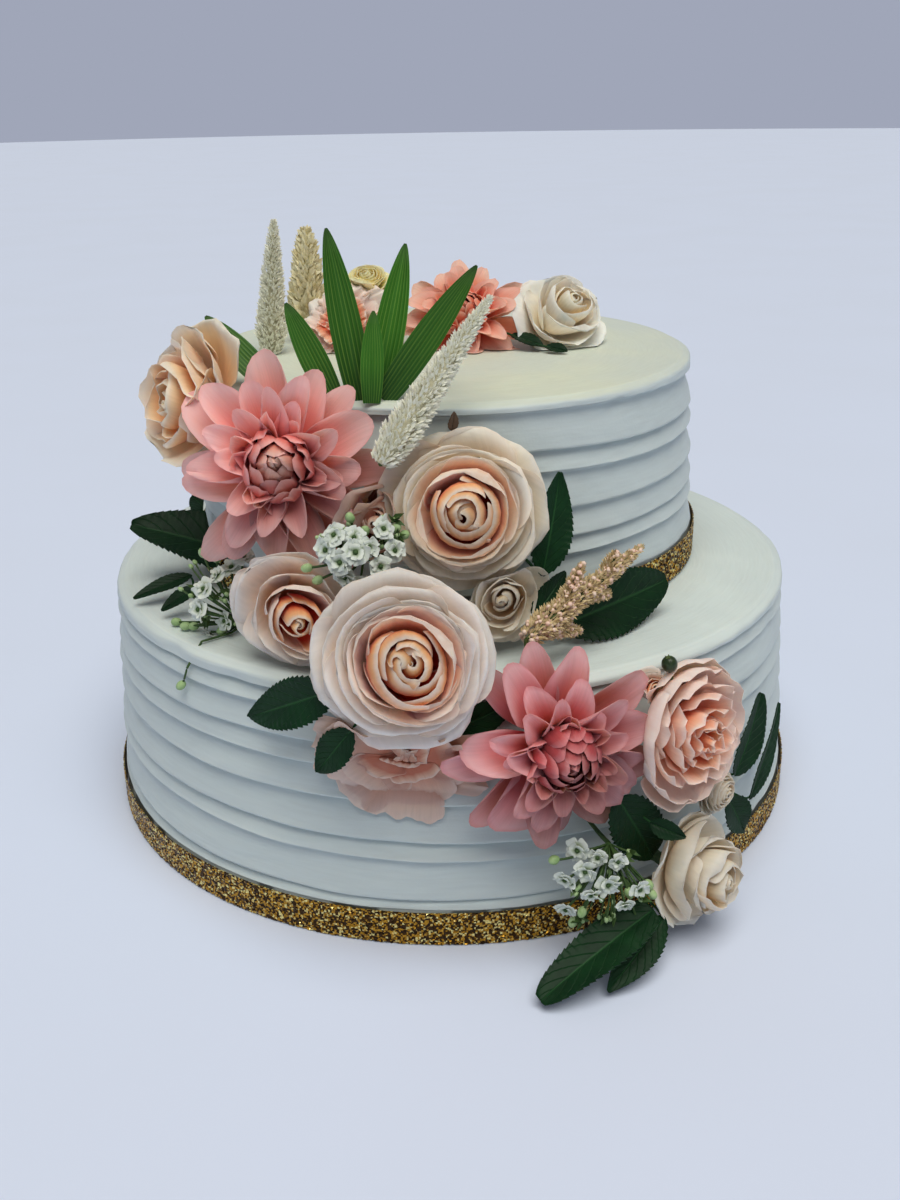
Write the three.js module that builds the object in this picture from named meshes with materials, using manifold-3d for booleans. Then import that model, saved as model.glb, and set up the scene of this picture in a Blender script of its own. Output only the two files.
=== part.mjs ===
// A two-tier wedding cake: combed white buttercream, a glitter ribbon round the foot of
// each tier, and a sash of cloth flowers, leaves, grasses and baby's breath.
// Millimetres, +Z up. The origin is the centre of the cake's base and the sash faces -Y.
import * as THREE from 'three';
import { mergeVertices } from 'three/addons/utils/BufferGeometryUtils.js';
import Module from 'manifold-3d';

const wasm = await Module();
wasm.setup();

// ---------------------------------------------------------------- driving dimensions

const GAP = 0.4; // air left between neighbouring pieces
const CLEARANCE = 0.9; // how far round a placed piece its own room reaches
const BOTTOM_TIER = {
  name: 'tier_bottom', centre: [0, 0], base: 0, height: 124.5, rimRadius: 178, footRadius: 186,
  bands: [8, 15.3, 10.5, 15.8, 17.7, 8.6, 19.1, 6.2], segments: 32,
};
const TOP_TIER = {
  name: 'tier_top', centre: [-1, 13], base: BOTTOM_TIER.height + GAP, height: 106.1,
  rimRadius: 128, footRadius: 134, bands: [18, 9.5, 17, 13.5, 9, 16.1], segments: 28,
};
const TIERS = [BOTTOM_TIER, TOP_TIER];
const LIP = 5.6; // height of the plain rim above the first combed band
const COMB_DEPTH = 2.8; // how far a band's upper edge lies behind its lower lip
const COMB_SWEEP = 0.93; // share of a band's height over which it leans in
const COMB_DRIFT = 1.1; // how far a band rises and falls on its way round
const COMB_WAVES = 2; // how often it does so
const COMB_TWIST = 0.05; // how the waves move on from band to band, in radians per mm
const RIM = { inset: 3.8, drop: 2.4 }; // the rounded edge of a tier's top
const RIBBON = { width: 17, thickness: 0.8, lift: 0.5 };
const LEAF_THICKNESS = 1.1;
const STALK_HALF_WIDTH = 1.3;
const WIRE_RADIUS = 1.5;
const WIRE_REACH = 2; // how far a wire or a stalk points into the icing before it is trimmed

const COLOURS = {
  icing: 0xe4e9e7, glitter: 0x8a6a2c, peach: 0xecc9ad, blush: 0xe0a79c, pink: 0xd98f8d,
  coral: 0xdb8178, cream: 0xeadcc2, yellow: 0xe8d9a2, leaf: 0x14402a, blade: 0x2f6e2b,
  straw: 0xc9c8ae, gold: 0xb59a63, astilbe: 0xbfa27e, breath: 0xdfe6d2, berry: 0x8fa56a,
};

// Whorls of petals, from the outermost in. Lengths are fractions of the flower's radius,
// angles are degrees above the flower's own plane, at the petal's foot and at its tip.
// Between two whorls the bloom is solid up to the fraction fill of the inner one's petals.
const SPECIES = {
  dahlia: {
    notch: 0.36, pointed: 1.25, segments: 24, fill: [0.3, 0.45, 0.5],
    whorls: [
      { petals: 8, length: 0.98, foot: 20, tip: -10 },
      { petals: 8, length: 0.86, foot: 48, tip: 8 },
      { petals: 6, length: 0.66, foot: 70, tip: 38 },
      { petals: 4, length: 0.5, foot: 86, tip: 80 },
    ],
  },
  rose: {
    notch: 0.14, pointed: 2.6, segments: 20, fill: [0.5, 0.7, 0.78],
    whorls: [
      { petals: 5, length: 1.0, foot: 42, tip: -18 },
      { petals: 5, length: 0.92, foot: 60, tip: 0 },
      { petals: 5, length: 0.84, foot: 76, tip: 24 },
      { petals: 4, length: 0.78, foot: 86, tip: 58 },
    ],
  },
  bloom: {
    notch: 0.22, pointed: 1.8, segments: 15, fill: [0.5, 0.72],
    whorls: [
      { petals: 5, length: 1.0, foot: 42, tip: -10 },
      { petals: 5, length: 0.9, foot: 64, tip: 12 },
      { petals: 5, length: 0.8, foot: 82, tip: 46 },
    ],
  },
};
const CALYX = { radius: 0.16, depth: 0.45 }; // the green cup behind a bloom, in flower radii
const WHORL_ROOT = 0.1; // distance of a petal's foot from the axis, in flower radii
const BLOOM_DEPTH = 0.55; // how far the middle of a bloom stands above its petals' feet
// The outermost petals' thickness, and how far along them their two faces turn in to the cup.
const CUP = { thickness: 0.04, under: 0.5, over: 0.6 };

// Where each bloom sits. The heading is degrees round from the front, + to the right,
// and the pitch is degrees up. A wired piece stands clear of the icing on a wire.
const BLOOMS = [
  {
    name: 'rose_front', kind: 'rose', at: [-19, -205, 149],
    heading: -4, pitch: 12, radius: 38.5, spin: 20, wired: true,
  },
  { name: 'rose_upper', kind: 'rose', at: [9, -150, 195], heading: 2, pitch: 14, radius: 37, spin: 50 },
  {
    name: 'dahlia_upper', kind: 'dahlia', at: [-77, -140, 209],
    heading: -14, pitch: 10, radius: 52, spin: 6,
  },
  {
    name: 'dahlia_lower', kind: 'dahlia', at: [46, -206, 106],
    heading: 12, pitch: 6, radius: 45, spin: 30,
  },
  { name: 'peony_right', kind: 'bloom', at: [106, -179, 101], heading: 40, pitch: 5, radius: 33 },
  { name: 'rose_left', kind: 'rose', at: [-127, -78, 223], heading: -46, pitch: 10, radius: 38 },
  {
    name: 'rose_low', kind: 'bloom', at: [109, -184, 35],
    heading: 30, pitch: 4, radius: 27, spin: 10, wired: true,
  },
  { name: 'carnation', kind: 'bloom', at: [-22, -201, 92], heading: -6, pitch: -24, radius: 34 },
  { name: 'ranunculus', kind: 'bloom', at: [-74, -158, 151], heading: -44, pitch: -4, radius: 28 },
  { name: 'rose_tucked', kind: 'bloom', at: [29, -148, 150], heading: 24, pitch: 0, radius: 21 },
  { name: 'bloom_between', kind: 'bloom', at: [-31, -136, 187], heading: -2, pitch: 5, radius: 24 },
  { name: 'bloom_right', kind: 'bloom', at: [86, -176, 121], heading: 24, pitch: 30, radius: 11 },
  {
    name: 'bloom_low', kind: 'bloom', at: [122, -158, 60],
    heading: 45, pitch: 0, radius: 13, wired: true,
  },
  { name: 'dahlia_top', kind: 'dahlia', at: [10, 8, 252], heading: -6, pitch: 42, radius: 36, spin: 14 },
  { name: 'rose_top', kind: 'bloom', at: [60, 12, 249], heading: 24, pitch: 38, radius: 26, spin: 30 },
  { name: 'peony_top', kind: 'bloom', at: [-52, 14, 251], heading: -16, pitch: 40, radius: 24 },
  { name: 'bloom_yellow', kind: 'bloom', at: [-42, 34, 264], heading: -10, pitch: 60, radius: 14 },
];

// Flower spikes: a foot, a tip, and the thickness at each. Their surface goes in and out
// between two shares of that thickness, and swells from a narrow shoulder at the foot.
const SPIKE = { lumps: [0.86, 1.12], shoulder: 0.55, swell: 3 };
const BRANCH = { radii: [4, 1.8], rings: 2, spread: 38, lean: 9 };
const SPIKES = [
  {
    name: 'spike_front', foot: [-28, -146, 214], tip: [19, -116, 277],
    radii: [9, 2.6], rings: 8, wired: true,
  },
  { name: 'spike_left', foot: [-91, 2, 231], tip: [-86, 8, 297], radii: [9, 2.6], rings: 8 },
  { name: 'plume', foot: [-74, 32, 231], tip: [-73, 36, 289], radii: [12, 5], rings: 7, flat: 0.5 },
  {
    name: 'astilbe', foot: [32, -166, 142], tip: [87, -120, 166], radii: [7, 2], rings: 7, wired: true,
    branches: [
      { start: 0.12, reach: 26 }, { start: 0.3, reach: 22 },
      { start: 0.5, reach: 16 }, { start: 0.68, reach: 11 },
    ],
  },
];

// Leaves and palm blades: a foot, a tip, the width, and the way the upper face looks.
// A rooted leaf has a stalk from its foot to the icing.
const BLADES = [
  { name: 'blade_tall', foot: [-38, -104, 231], tip: [-51, -88, 303], width: 15, face: [0.1, -1, 0.1] },
  { name: 'blade_right', foot: [-28, -104, 231], tip: [14, -94, 287], width: 14, face: [0, -1, 0.3] },
  { name: 'blade_middle', foot: [-31, -98, 231], tip: [-17, -80, 295], width: 15, face: [-0.2, -1, 0.1] },
  { name: 'blade_left', foot: [-43, -102, 231], tip: [-70, -92, 272], width: 13, face: [0.3, -1, 0] },
  { name: 'blade_short', foot: [-33, -110, 231], tip: [-31, -104, 270], width: 11, face: [0.4, -1, 0] },
  { name: 'blade_side', foot: [-82, -84, 236], tip: [-113, -76, 262], width: 14, face: [0.2, -1, 0.6] },
];
const LEAVES = [
  { name: 'leaf_left', foot: [-98, -44, 134], tip: [-162, -44, 154], width: 38, face: [0.1, -0.5, 1] },
  {
    name: 'leaf_left_back', foot: [-118, -18, 142], tip: [-141, 8, 152],
    width: 20, face: [0.3, -0.6, 1],
  },
  {
    name: 'leaf_left_slim', foot: [-128, -70, 136], tip: [-155, -82, 129],
    width: 10, face: [0.2, -0.4, 1], rooted: true,
  },
  {
    name: 'leaf_left_short', foot: [-122, -92, 138], tip: [-138, -98, 129],
    width: 9, face: [0.1, -0.5, 1], rooted: true,
  },
  {
    name: 'leaf_front', foot: [-46, -192, 133], tip: [-88, -166, 107],
    width: 22, face: [-0.3, -1, 0.4], rooted: true,
  },
  {
    name: 'leaf_front_low', foot: [-42, -192, 112], tip: [-58, -180, 87],
    width: 16, face: [-0.6, -1, 0],
  },
  {
    name: 'leaf_upright', foot: [41, -134, 158], tip: [49, -122, 202],
    width: 20, face: [0.3, -1, 0.1], rooted: true,
  },
  { name: 'leaf_shelf', foot: [50, -134, 134], tip: [103, -96, 140], width: 30, face: [0.5, -1, 0.5] },
  { name: 'leaf_tucked', foot: [36, -142, 140], tip: [52, -124, 156], width: 14, face: [0.4, -1, 0.2] },
  {
    name: 'leaf_between', foot: [-6, -184, 106], tip: [27, -182, 121],
    width: 17, face: [0.1, -1, 0.1], rooted: true,
  },
  {
    name: 'leaf_round', foot: [70, -190, 78], tip: [88, -180, 42],
    width: 25, face: [0.3, -1, 0.1], rooted: true,
  },
  {
    name: 'leaf_low_front', foot: [86, -199, 27], tip: [36, -230, 5],
    width: 24, face: [-0.3, -0.6, 1], rooted: true,
  },
  {
    name: 'leaf_low_back', foot: [92, -195, 20], tip: [64, -224, 4],
    width: 17, face: [0.4, -0.7, 1], rooted: true,
  },
  {
    name: 'leaf_right', foot: [132, -140, 58], tip: [146, -122, 92],
    width: 16, face: [0.8, -1, 0], rooted: true,
  },
  {
    name: 'leaf_right_slim', foot: [142, -132, 40], tip: [163, -94, 72],
    width: 11, face: [0.9, -0.6, 0.2], rooted: true,
  },
  {
    name: 'leaf_right_low', foot: [128, -146, 50], tip: [139, -138, 26],
    width: 15, face: [0.6, -1, 0.2], rooted: true,
  },
  {
    name: 'leaf_round_tip', foot: [84, -191, 66], tip: [99, -195, 61],
    width: 9, face: [0.1, -1, 0.3], rooted: true,
  },
  { name: 'leaf_top', foot: [34, 6, 238], tip: [50, -6, 234], width: 10, face: [0.2, -0.6, 1] },
  { name: 'leaf_top_low', foot: [51, -6, 234], tip: [62, -12, 232.5], width: 8, face: [0, -0.5, 1] },
  { name: 'sepal_tip', foot: [2, -136, 222], tip: [3, -138, 238], width: 7, face: [0.4, -1, 0] },
];

// Sprays of baby's breath: the middle, the half sizes, and the way the spray faces.
const SPRAYS = [
  {
    name: 'breath_centre', at: [-38, -160, 181],
    half: [20, 13, 16], face: [0, -1, 0.2], florets: 6, buds: 3, seed: 3, wired: true,
  },
  {
    name: 'breath_left', at: [-111, -110, 143],
    half: [17, 17, 15], face: [-0.5, -1, 0.3], florets: 6, buds: 4, seed: 8,
  },
  {
    name: 'breath_low', at: [64, -201, 42],
    half: [20, 12, 18], face: [0.2, -1, 0.1], florets: 6, buds: 4, seed: 5, wired: true,
  },
];
// The one loose berry, on a stalk that runs down among the petals below it.
const BERRY = { name: 'berry', foot: [93, -176, 126], tip: [91, -178, 135], radius: 3.6 };
const FLORET = { radius: 5.2, stalk: 8, notch: 0.6, cup: 0.25 };
const BUD = { radius: 2.7, at: 6, stalkRadius: 1.6, stalk: 13, rise: 0.15 };
const SPRAY_CORE = { size: 0.62, lump: 0.08 }; // the solid middle, in the spray's half sizes
const GOLDEN_ANGLE = 2.4; // the turn from one floret to the next

// ------------------------------------------------------------------------ small tools

const radians = THREE.MathUtils.degToRad;
const vector = (triple) => new THREE.Vector3(...triple);

function seededDraw(seed) {
  let state = seed * 7919 + 17;
  return () => {
    state = (state * 16807) % 2147483647;
    return state / 2147483647;
  };
}

// Welds a geometry's vertices and turns it into a solid with its faces pointing out.
function toSolid(geometry) {
  const bare = geometry.clone();
  bare.deleteAttribute('normal');
  bare.deleteAttribute('uv');
  const welded = mergeVertices(bare, 1e-3);
  const corners = welded.index.array;
  const build = (order) => {
    const triangles = [];
    for (let i = 0; i < corners.length; i += 3) {
      const [a, b, c] = order.map((k) => corners[i + k]);
      if (a !== b && b !== c && c !== a) triangles.push(a, b, c);
    }
    return new wasm.Manifold(new wasm.Mesh({
      numProp: 3,
      vertProperties: new Float32Array(welded.attributes.position.array),
      triVerts: new Uint32Array(triangles),
    }));
  };
  const solid = build([0, 1, 2]);
  return solid.volume() > 0 ? solid : build([0, 2, 1]);
}

// Moves every vertex of a geometry to where place() puts it.
function reshape(geometry, place) {
  const position = geometry.attributes.position;
  const point = new THREE.Vector3();
  for (let i = 0; i < position.count; i++) {
    point.fromBufferAttribute(position, i);
    const [x, y, z] = place(point, i);
    position.setXYZ(i, x, y, z);
  }
  return geometry;
}

const largestBody = (solid) => solid.decompose().reduce((a, b) => (b.volume() > a.volume() ? b : a));

function toMesh(name, solid, colour, roughness = 0.8, metalness = 0) {
  const { vertProperties, triVerts } = solid.getMesh();
  const geometry = new THREE.BufferGeometry();
  geometry.setAttribute('position', new THREE.BufferAttribute(new Float32Array(vertProperties), 3));
  geometry.setIndex([...triVerts]);
  geometry.computeVertexNormals();
  const material = new THREE.MeshStandardMaterial({ color: colour, roughness, metalness });
  const mesh = new THREE.Mesh(geometry, material);
  mesh.name = name;
  return mesh;
}

// The spot just under the icing that is nearest to a point.
function nearestIcing(point) {
  const spots = TIERS.map(({ centre, base, height, footRadius, rimRadius }) => {
    const middle = new THREE.Vector3(...centre, 0);
    const spot = point.clone().sub(middle);
    spot.z = THREE.MathUtils.clamp(point.z, base, base + height);
    const side = THREE.MathUtils.lerp(footRadius, rimRadius, (spot.z - base) / height);
    const share = Math.min(1, side / Math.hypot(spot.x, spot.y));
    return spot.multiply(new THREE.Vector3(share, share, 1)).add(middle);
  });
  const [nearest] = spots.sort((a, b) => a.distanceTo(point) - b.distanceTo(point));
  return nearest.addScaledVector(nearest.clone().sub(point).normalize(), COMB_DEPTH + WIRE_REACH);
}

// ------------------------------------------------------------------- cake and ribbons

// The tier's outline from the axis up its side, as [distance from the axis, height].
function tierOutline(tier) {
  const side = (z) => THREE.MathUtils.lerp(tier.footRadius, tier.rimRadius, z / tier.height);
  const outline = [[0, 0], [side(0), 0]];
  let lower = tier.height - LIP - tier.bands.reduce((sum, band) => sum + band, 0);
  for (const band of [...tier.bands].reverse()) {
    outline.push([side(lower), lower], [side(lower + band) - COMB_DEPTH, lower + band * COMB_SWEEP]);
    lower += band;
  }
  outline.push([side(lower), lower], [side(tier.height), tier.height - RIM.drop]);
  outline.push([tier.rimRadius - RIM.inset, tier.height], [0, tier.height]);
  return outline;
}

function tierSolid(tier) {
  const outline = tierOutline(tier).map(([r, z]) => new THREE.Vector2(r, z));
  const combed = (z) => z > RIBBON.width + RIBBON.lift + COMB_DRIFT && z < tier.height - RIM.drop;
  const geometry = reshape(new THREE.LatheGeometry(outline, tier.segments), ({ x, y, z }) => {
    const turn = Math.atan2(z, x);
    const drift = combed(y) ? COMB_DRIFT * Math.sin(turn * COMB_WAVES + y * COMB_TWIST) : 0;
    return [x, -z, y + drift];
  });
  return toSolid(geometry);
}

function makeTier(tier) {
  const mesh = toMesh(tier.name, tierSolid(tier), COLOURS.icing, 0.55);
  mesh.position.set(...tier.centre, tier.base);
  return mesh;
}

function makeRibbon(tier, name) {
  const inner = tier.footRadius + GAP;
  const outer = inner + RIBBON.thickness;
  const low = RIBBON.lift;
  const top = low + RIBBON.width;
  const section = [[inner, low], [outer, low], [outer, top], [inner, top], [inner, low]];
  const points = section.map(([r, z]) => new THREE.Vector2(r, z));
  const geometry = reshape(new THREE.LatheGeometry(points, tier.segments), ({ x, y, z }) => [x, -z, y]);
  const mesh = toMesh(name, toSolid(geometry), COLOURS.glitter, 0.35, 0.8);
  mesh.position.set(...tier.centre, tier.base);
  return mesh;
}

// An upright plug that keeps a tier's side, or its ribbon, clear of the pieces round it.
function plug({ centre, base }, topRadius, footRadius, height) {
  const geometry = new THREE.CylinderGeometry(topRadius, footRadius, height, 96);
  geometry.rotateX(Math.PI / 2);
  geometry.translate(...centre, base + height / 2);
  return toSolid(geometry);
}

function tierRoom(tier) {
  return plug(tier, tier.rimRadius + CLEARANCE, tier.footRadius + CLEARANCE, tier.height + GAP);
}

function ribbonRoom(tier) {
  const reach = tier.footRadius + GAP + RIBBON.thickness + CLEARANCE;
  return plug(tier, reach, reach, RIBBON.lift + RIBBON.width + GAP);
}

// ---------------------------------------------------------------------------- flowers

// Distance from the axis and height of a petal's midline, a fraction u along its length.
function petalLine(whorl, u) {
  const foot = radians(whorl.foot);
  const bend = radians(whorl.tip - whorl.foot) || 1e-6;
  const angle = foot + bend * u;
  return [
    WHORL_ROOT + (whorl.length * (Math.sin(angle) - Math.sin(foot))) / bend,
    (whorl.length * (Math.cos(foot) - Math.cos(angle))) / bend,
  ];
}

// The corners of a bloom's section, from its calyx round the outermost petals and in to
// the middle. Each gives [distance from the axis, height] for the reach of the petals there.
function bloomSection({ whorls, fill }) {
  const outer = whorls[0];
  const raised = (whorl, u, lift) => {
    const [out, up] = petalLine(whorl, u);
    return [out, up + lift];
  };
  const section = [
    { whorl: 0, corner: () => [0, -CALYX.depth] },
    { whorl: 0, corner: () => [CALYX.radius, -CALYX.depth] },
    { whorl: 0, corner: (reach) => raised(outer, CUP.under * reach, -CUP.thickness) },
  ];
  whorls.forEach((whorl, index) => {
    const next = whorls[index + 1];
    section.push({ whorl: index, corner: (reach) => petalLine(whorl, reach) });
    if (index === 0) {
      section.push({ whorl: 0, corner: (reach) => raised(whorl, CUP.over * reach, CUP.thickness) });
    }
    if (next) section.push({ whorl: index, corner: () => petalLine(next, fill[index]) });
  });
  const heart = petalLine(whorls.at(-1), 1)[1] - 2 * CUP.thickness;
  section.push({ whorl: 0, corner: () => [0, heart] });
  return section;
}

// A whole bloom as one turned solid whose rims are cut into petals.
function makeBloom({ kind, radius }) {
  const species = SPECIES[kind];
  const section = bloomSection(species);
  const profile = section.map((_, i) => new THREE.Vector2(i && i < section.length - 1 ? 1 : 0, i));
  const geometry = new THREE.LatheGeometry(profile, species.segments);
  return toSolid(reshape(geometry, (point, i) => {
    const segment = Math.floor(i / section.length) % species.segments;
    const { whorl, corner } = section[i % section.length];
    const turn = (segment / species.segments) * Math.PI * 2;
    const steps = species.segments / species.whorls[whorl].petals;
    const petal = segment / steps + 0.5 + (whorl * Math.round(steps / 2)) / steps;
    const across = Math.abs((petal % 1) * 2 - 1);
    const [out, up] = corner(1 - species.notch * across ** species.pointed);
    return [out * Math.cos(turn) * radius, out * Math.sin(turn) * radius, up * radius];
  }));
}

// Stands a bloom where it is wanted: local +Z is the way it faces.
function bloomPose({ at, heading, pitch, spin = 0, radius }) {
  const facing = new THREE.Vector3(0, -1, 0)
    .applyAxisAngle(new THREE.Vector3(-1, 0, 0), radians(pitch))
    .applyAxisAngle(new THREE.Vector3(0, 0, 1), radians(heading));
  const turn = new THREE.Quaternion().setFromUnitVectors(new THREE.Vector3(0, 0, 1), facing);
  turn.multiply(new THREE.Quaternion().setFromAxisAngle(new THREE.Vector3(0, 0, 1), radians(spin)));
  const foot = vector(at).addScaledVector(facing, -BLOOM_DEPTH * radius);
  return new THREE.Matrix4().compose(foot, turn, new THREE.Vector3(1, 1, 1));
}

// ---------------------------------------------------------- leaves, blades and spikes

// A frame with +Y from foot to tip and +Z along the upper face.
function stemPose({ foot, tip, face = [0, -1, 0] }) {
  const along = vector(tip).sub(vector(foot)).normalize();
  const across = new THREE.Vector3().crossVectors(along, vector(face)).normalize();
  const normal = new THREE.Vector3().crossVectors(across, along);
  return new THREE.Matrix4().makeBasis(across, along, normal).setPosition(...foot);
}

const span = ({ foot, tip }) => vector(tip).distanceTo(vector(foot));

// A thin wavy sheet, both faces split alike. outline(u) is its half width at u.
function makeSheet(item, outline, { fold, arch, wave }) {
  const length = span(item);
  const rows = 5;
  const stalkRows = item.rooted ? 1 : 0;
  const root = nearestIcing(vector(item.foot)).applyMatrix4(stemPose(item).invert());
  const geometry = new THREE.BoxGeometry(1, 1, 1, 2, rows + stalkRows, 1);
  return toSolid(reshape(geometry, ({ x, y, z }) => {
    const u = Math.round((y + 0.5) * (rows + stalkRows) - stalkRows) / rows;
    const v = x * 2;
    const thickness = z * LEAF_THICKNESS;
    if (u < 0) return [root.x + v * STALK_HALF_WIDTH, root.y - thickness, root.z + thickness];
    const half = (item.width / 2) * outline(u);
    const lift = fold * Math.abs(v) * half + arch * length * u * (1 - u) + wave * v * Math.sin(u * 7);
    return [v * half, u * length, lift + thickness];
  }));
}

const leafOutline = (u) => 0.07 + 0.93 * Math.sin(Math.PI * u ** 0.8) ** 0.8;
const bladeOutline = (u) => 0.12 + 0.88 * Math.sin(Math.PI * (0.18 + 0.82 * u) ** 1.15) ** 0.7;
const makeLeaf = (item) => makeSheet(item, leafOutline, { fold: 0.22, arch: 0.1, wave: 0.8 });
const makeBlade = (item) => makeSheet(item, bladeOutline, { fold: 0.12, arch: -0.05, wave: 0.3 });

// A lumpy tapering spike along +Y.
function makeSpikeStem(length, [footRadius, tipRadius], rings, sides, flat = 1) {
  const points = [new THREE.Vector2(0, 0)];
  for (let i = 0; i <= rings; i++) {
    const u = i / rings;
    const body = THREE.MathUtils.lerp(footRadius, tipRadius, u) * Math.min(1, SPIKE.shoulder + u * SPIKE.swell);
    points.push(new THREE.Vector2(body, u * length));
  }
  points.push(new THREE.Vector2(0, length * 1.02));
  const count = points.length;
  return toSolid(reshape(new THREE.LatheGeometry(points, sides), ({ x, y, z }, i) => {
    const lump = SPIKE.lumps[(Math.floor(i / count) + (i % count)) % 2];
    return [x * lump, y, z * lump * flat];
  }));
}

function makeSpike(item) {
  const length = span(item);
  const sides = item.branches ? 6 : 8;
  let solid = makeSpikeStem(length, item.radii, item.rings, sides, item.flat);
  (item.branches ?? []).forEach(({ start, reach }, i) => {
    const side = i % 2 ? 1 : -1;
    const lean = new THREE.Euler(side * radians(BRANCH.lean), 0, side * radians(BRANCH.spread));
    const pose = new THREE.Matrix4().makeRotationFromEuler(lean).setPosition(0, start * length, 0);
    solid = solid.add(makeSpikeStem(reach, BRANCH.radii, BRANCH.rings, sides).transform(pose.elements));
  });
  return solid;
}

function makeBerry(item) {
  const length = span(item);
  const stalk = new THREE.ConeGeometry(item.radius * 0.4, length, 5).translate(0, length / 2, 0);
  const ball = new THREE.IcosahedronGeometry(item.radius, 0).translate(0, length, 0);
  return toSolid(stalk).add(toSolid(ball));
}

// ----------------------------------------------------------------------- baby's breath

// A five-petalled floret facing +Z on its stalk, its rim in and out like petals and notches.
function makeFloret(radius) {
  const profile = [[0, -FLORET.stalk], [radius, 0], [0, radius * FLORET.cup]];
  const points = profile.map(([r, z]) => new THREE.Vector2(r, z));
  return toSolid(reshape(new THREE.LatheGeometry(points, 10), ({ x, y, z }, i) => {
    const notch = Math.floor(i / points.length) % 2 ? FLORET.notch : 1;
    return [x * notch, -z * notch, y];
  }));
}

function makeSpray({ half, florets, buds, seed }) {
  const draw = seededDraw(seed);
  const core = new THREE.IcosahedronGeometry(1, 1);
  reshape(core, ({ x, y, z }) => {
    const lump = SPRAY_CORE.size + SPRAY_CORE.lump * Math.sin(x * 9 + seed) * Math.cos(z * 8);
    return [x * half[0] * lump, y * half[2] * lump, z * half[1] * lump];
  });
  let solid = toSolid(core);
  const outward = new THREE.Vector3(0, 0, 1);
  const attach = (piece, direction, lift) => {
    const turn = new THREE.Quaternion().setFromUnitVectors(outward, direction);
    const spot = new THREE.Vector3(direction.x * half[0], direction.y * half[2], direction.z * half[1]);
    const pose = new THREE.Matrix4().compose(spot.multiplyScalar(lift), turn, new THREE.Vector3(1, 1, 1));
    solid = solid.add(piece.transform(pose.elements));
  };
  for (let i = 0; i < florets; i++) {
    const height = (i + 0.5) / florets;
    const turn = i * GOLDEN_ANGLE;
    const ring = Math.sqrt(1 - height * height);
    const direction = new THREE.Vector3(ring * Math.cos(turn), ring * Math.sin(turn), height);
    attach(makeFloret(FLORET.radius * THREE.MathUtils.lerp(0.85, 1.15, draw())), direction, 0.88);
  }
  for (let i = 0; i < buds; i++) {
    const turn = (i / buds) * Math.PI * 2 + draw();
    const direction = new THREE.Vector3(Math.cos(turn), Math.sin(turn), BUD.rise).normalize();
    const sprig = new THREE.ConeGeometry(BUD.stalkRadius, BUD.stalk, 3).rotateX(-Math.PI / 2);
    const bud = new THREE.OctahedronGeometry(BUD.radius).translate(0, 0, BUD.at);
    attach(toSolid(sprig).add(toSolid(bud)), direction, 1);
  }
  return solid;
}

function sprayPose({ at, face }) {
  const normal = vector(face).normalize();
  const across = new THREE.Vector3(0, 0, 1).cross(normal).normalize();
  const up = new THREE.Vector3().crossVectors(normal, across);
  return new THREE.Matrix4().makeBasis(across, up, normal).setPosition(...at);
}

// --------------------------------------------------------------------------- assembly

// What each finished piece keeps clear for itself: its hull, grown along its own axes.
function pieceRoom(local, pose) {
  const hull = local.hull();
  const { min, max } = hull.boundingBox();
  const middle = min.map((low, i) => (low + max[i]) / 2);
  const growth = min.map((low, i) => 1 + (2 * CLEARANCE) / (max[i] - low));
  const grow = new THREE.Matrix4()
    .makeTranslation(...middle)
    .multiply(new THREE.Matrix4().makeScale(...growth))
    .multiply(new THREE.Matrix4().makeTranslation(...middle.map((m) => -m)));
  return hull.transform(pose.clone().multiply(grow).elements);
}

const group = new THREE.Group();
const tierRooms = TIERS.map(tierRoom);
const floorSize = 4 * BOTTOM_TIER.footRadius;
const floor = new THREE.BoxGeometry(floorSize, floorSize, floorSize);
floor.translate(0, 0, RIBBON.lift - floorSize / 2);
const rooms = [toSolid(floor), ...TIERS.map(ribbonRoom)];

const touches = (a, b) => {
  const [p, q] = [a.boundingBox(), b.boundingBox()];
  return p.min.every((low, i) => low <= q.max[i] && q.min[i] <= p.max[i]);
};

// Cuts a solid back from the tiers and from everything already in place.
const cutBack = (solid, tiers) => [...tiers, ...rooms]
  .filter((room) => touches(room, solid))
  .reduce((rest, room) => rest.subtract(room), solid);

// The combed tiers themselves, a gap's width out towards a wire or stalk that meets them.
function tiersTowards(origin) {
  const back = origin.clone().sub(nearestIcing(origin)).setLength(GAP);
  return TIERS.map((tier) => {
    const shift = new THREE.Vector3(...tier.centre, tier.base).add(back);
    return tierSolid(tier).translate(shift.toArray());
  });
}

// A slim wire from a piece's own origin to the icing, in the piece's own frame.
function makeWire(origin, pose) {
  const end = nearestIcing(origin).applyMatrix4(pose.clone().invert());
  const length = end.length();
  const rod = new THREE.CylinderGeometry(WIRE_RADIUS, WIRE_RADIUS, length, 4).translate(0, length / 2, 0);
  const turn = new THREE.Quaternion().setFromUnitVectors(new THREE.Vector3(0, 1, 0), end.normalize());
  return toSolid(rod.applyQuaternion(turn));
}

// Fits a piece among those already in place, then adds it to the cake.
function addPiece(item, local, pose, colour) {
  const origin = new THREE.Vector3().setFromMatrixPosition(pose);
  const back = pose.clone().invert().elements;
  const fit = (solid, tiers) => cutBack(solid.transform(pose.elements), tiers).transform(back);
  let solid = largestBody(fit(local, item.rooted ? tiersTowards(origin) : tierRooms));
  const newRooms = [pieceRoom(solid, pose)];
  if (item.wired) {
    const wire = fit(makeWire(origin, pose), tiersTowards(origin));
    newRooms.push(pieceRoom(wire, pose));
    solid = largestBody(solid.add(wire));
  }
  rooms.push(...newRooms);
  const mesh = toMesh(item.name, solid, colour);
  mesh.applyMatrix4(pose);
  group.add(mesh);
}

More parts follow.
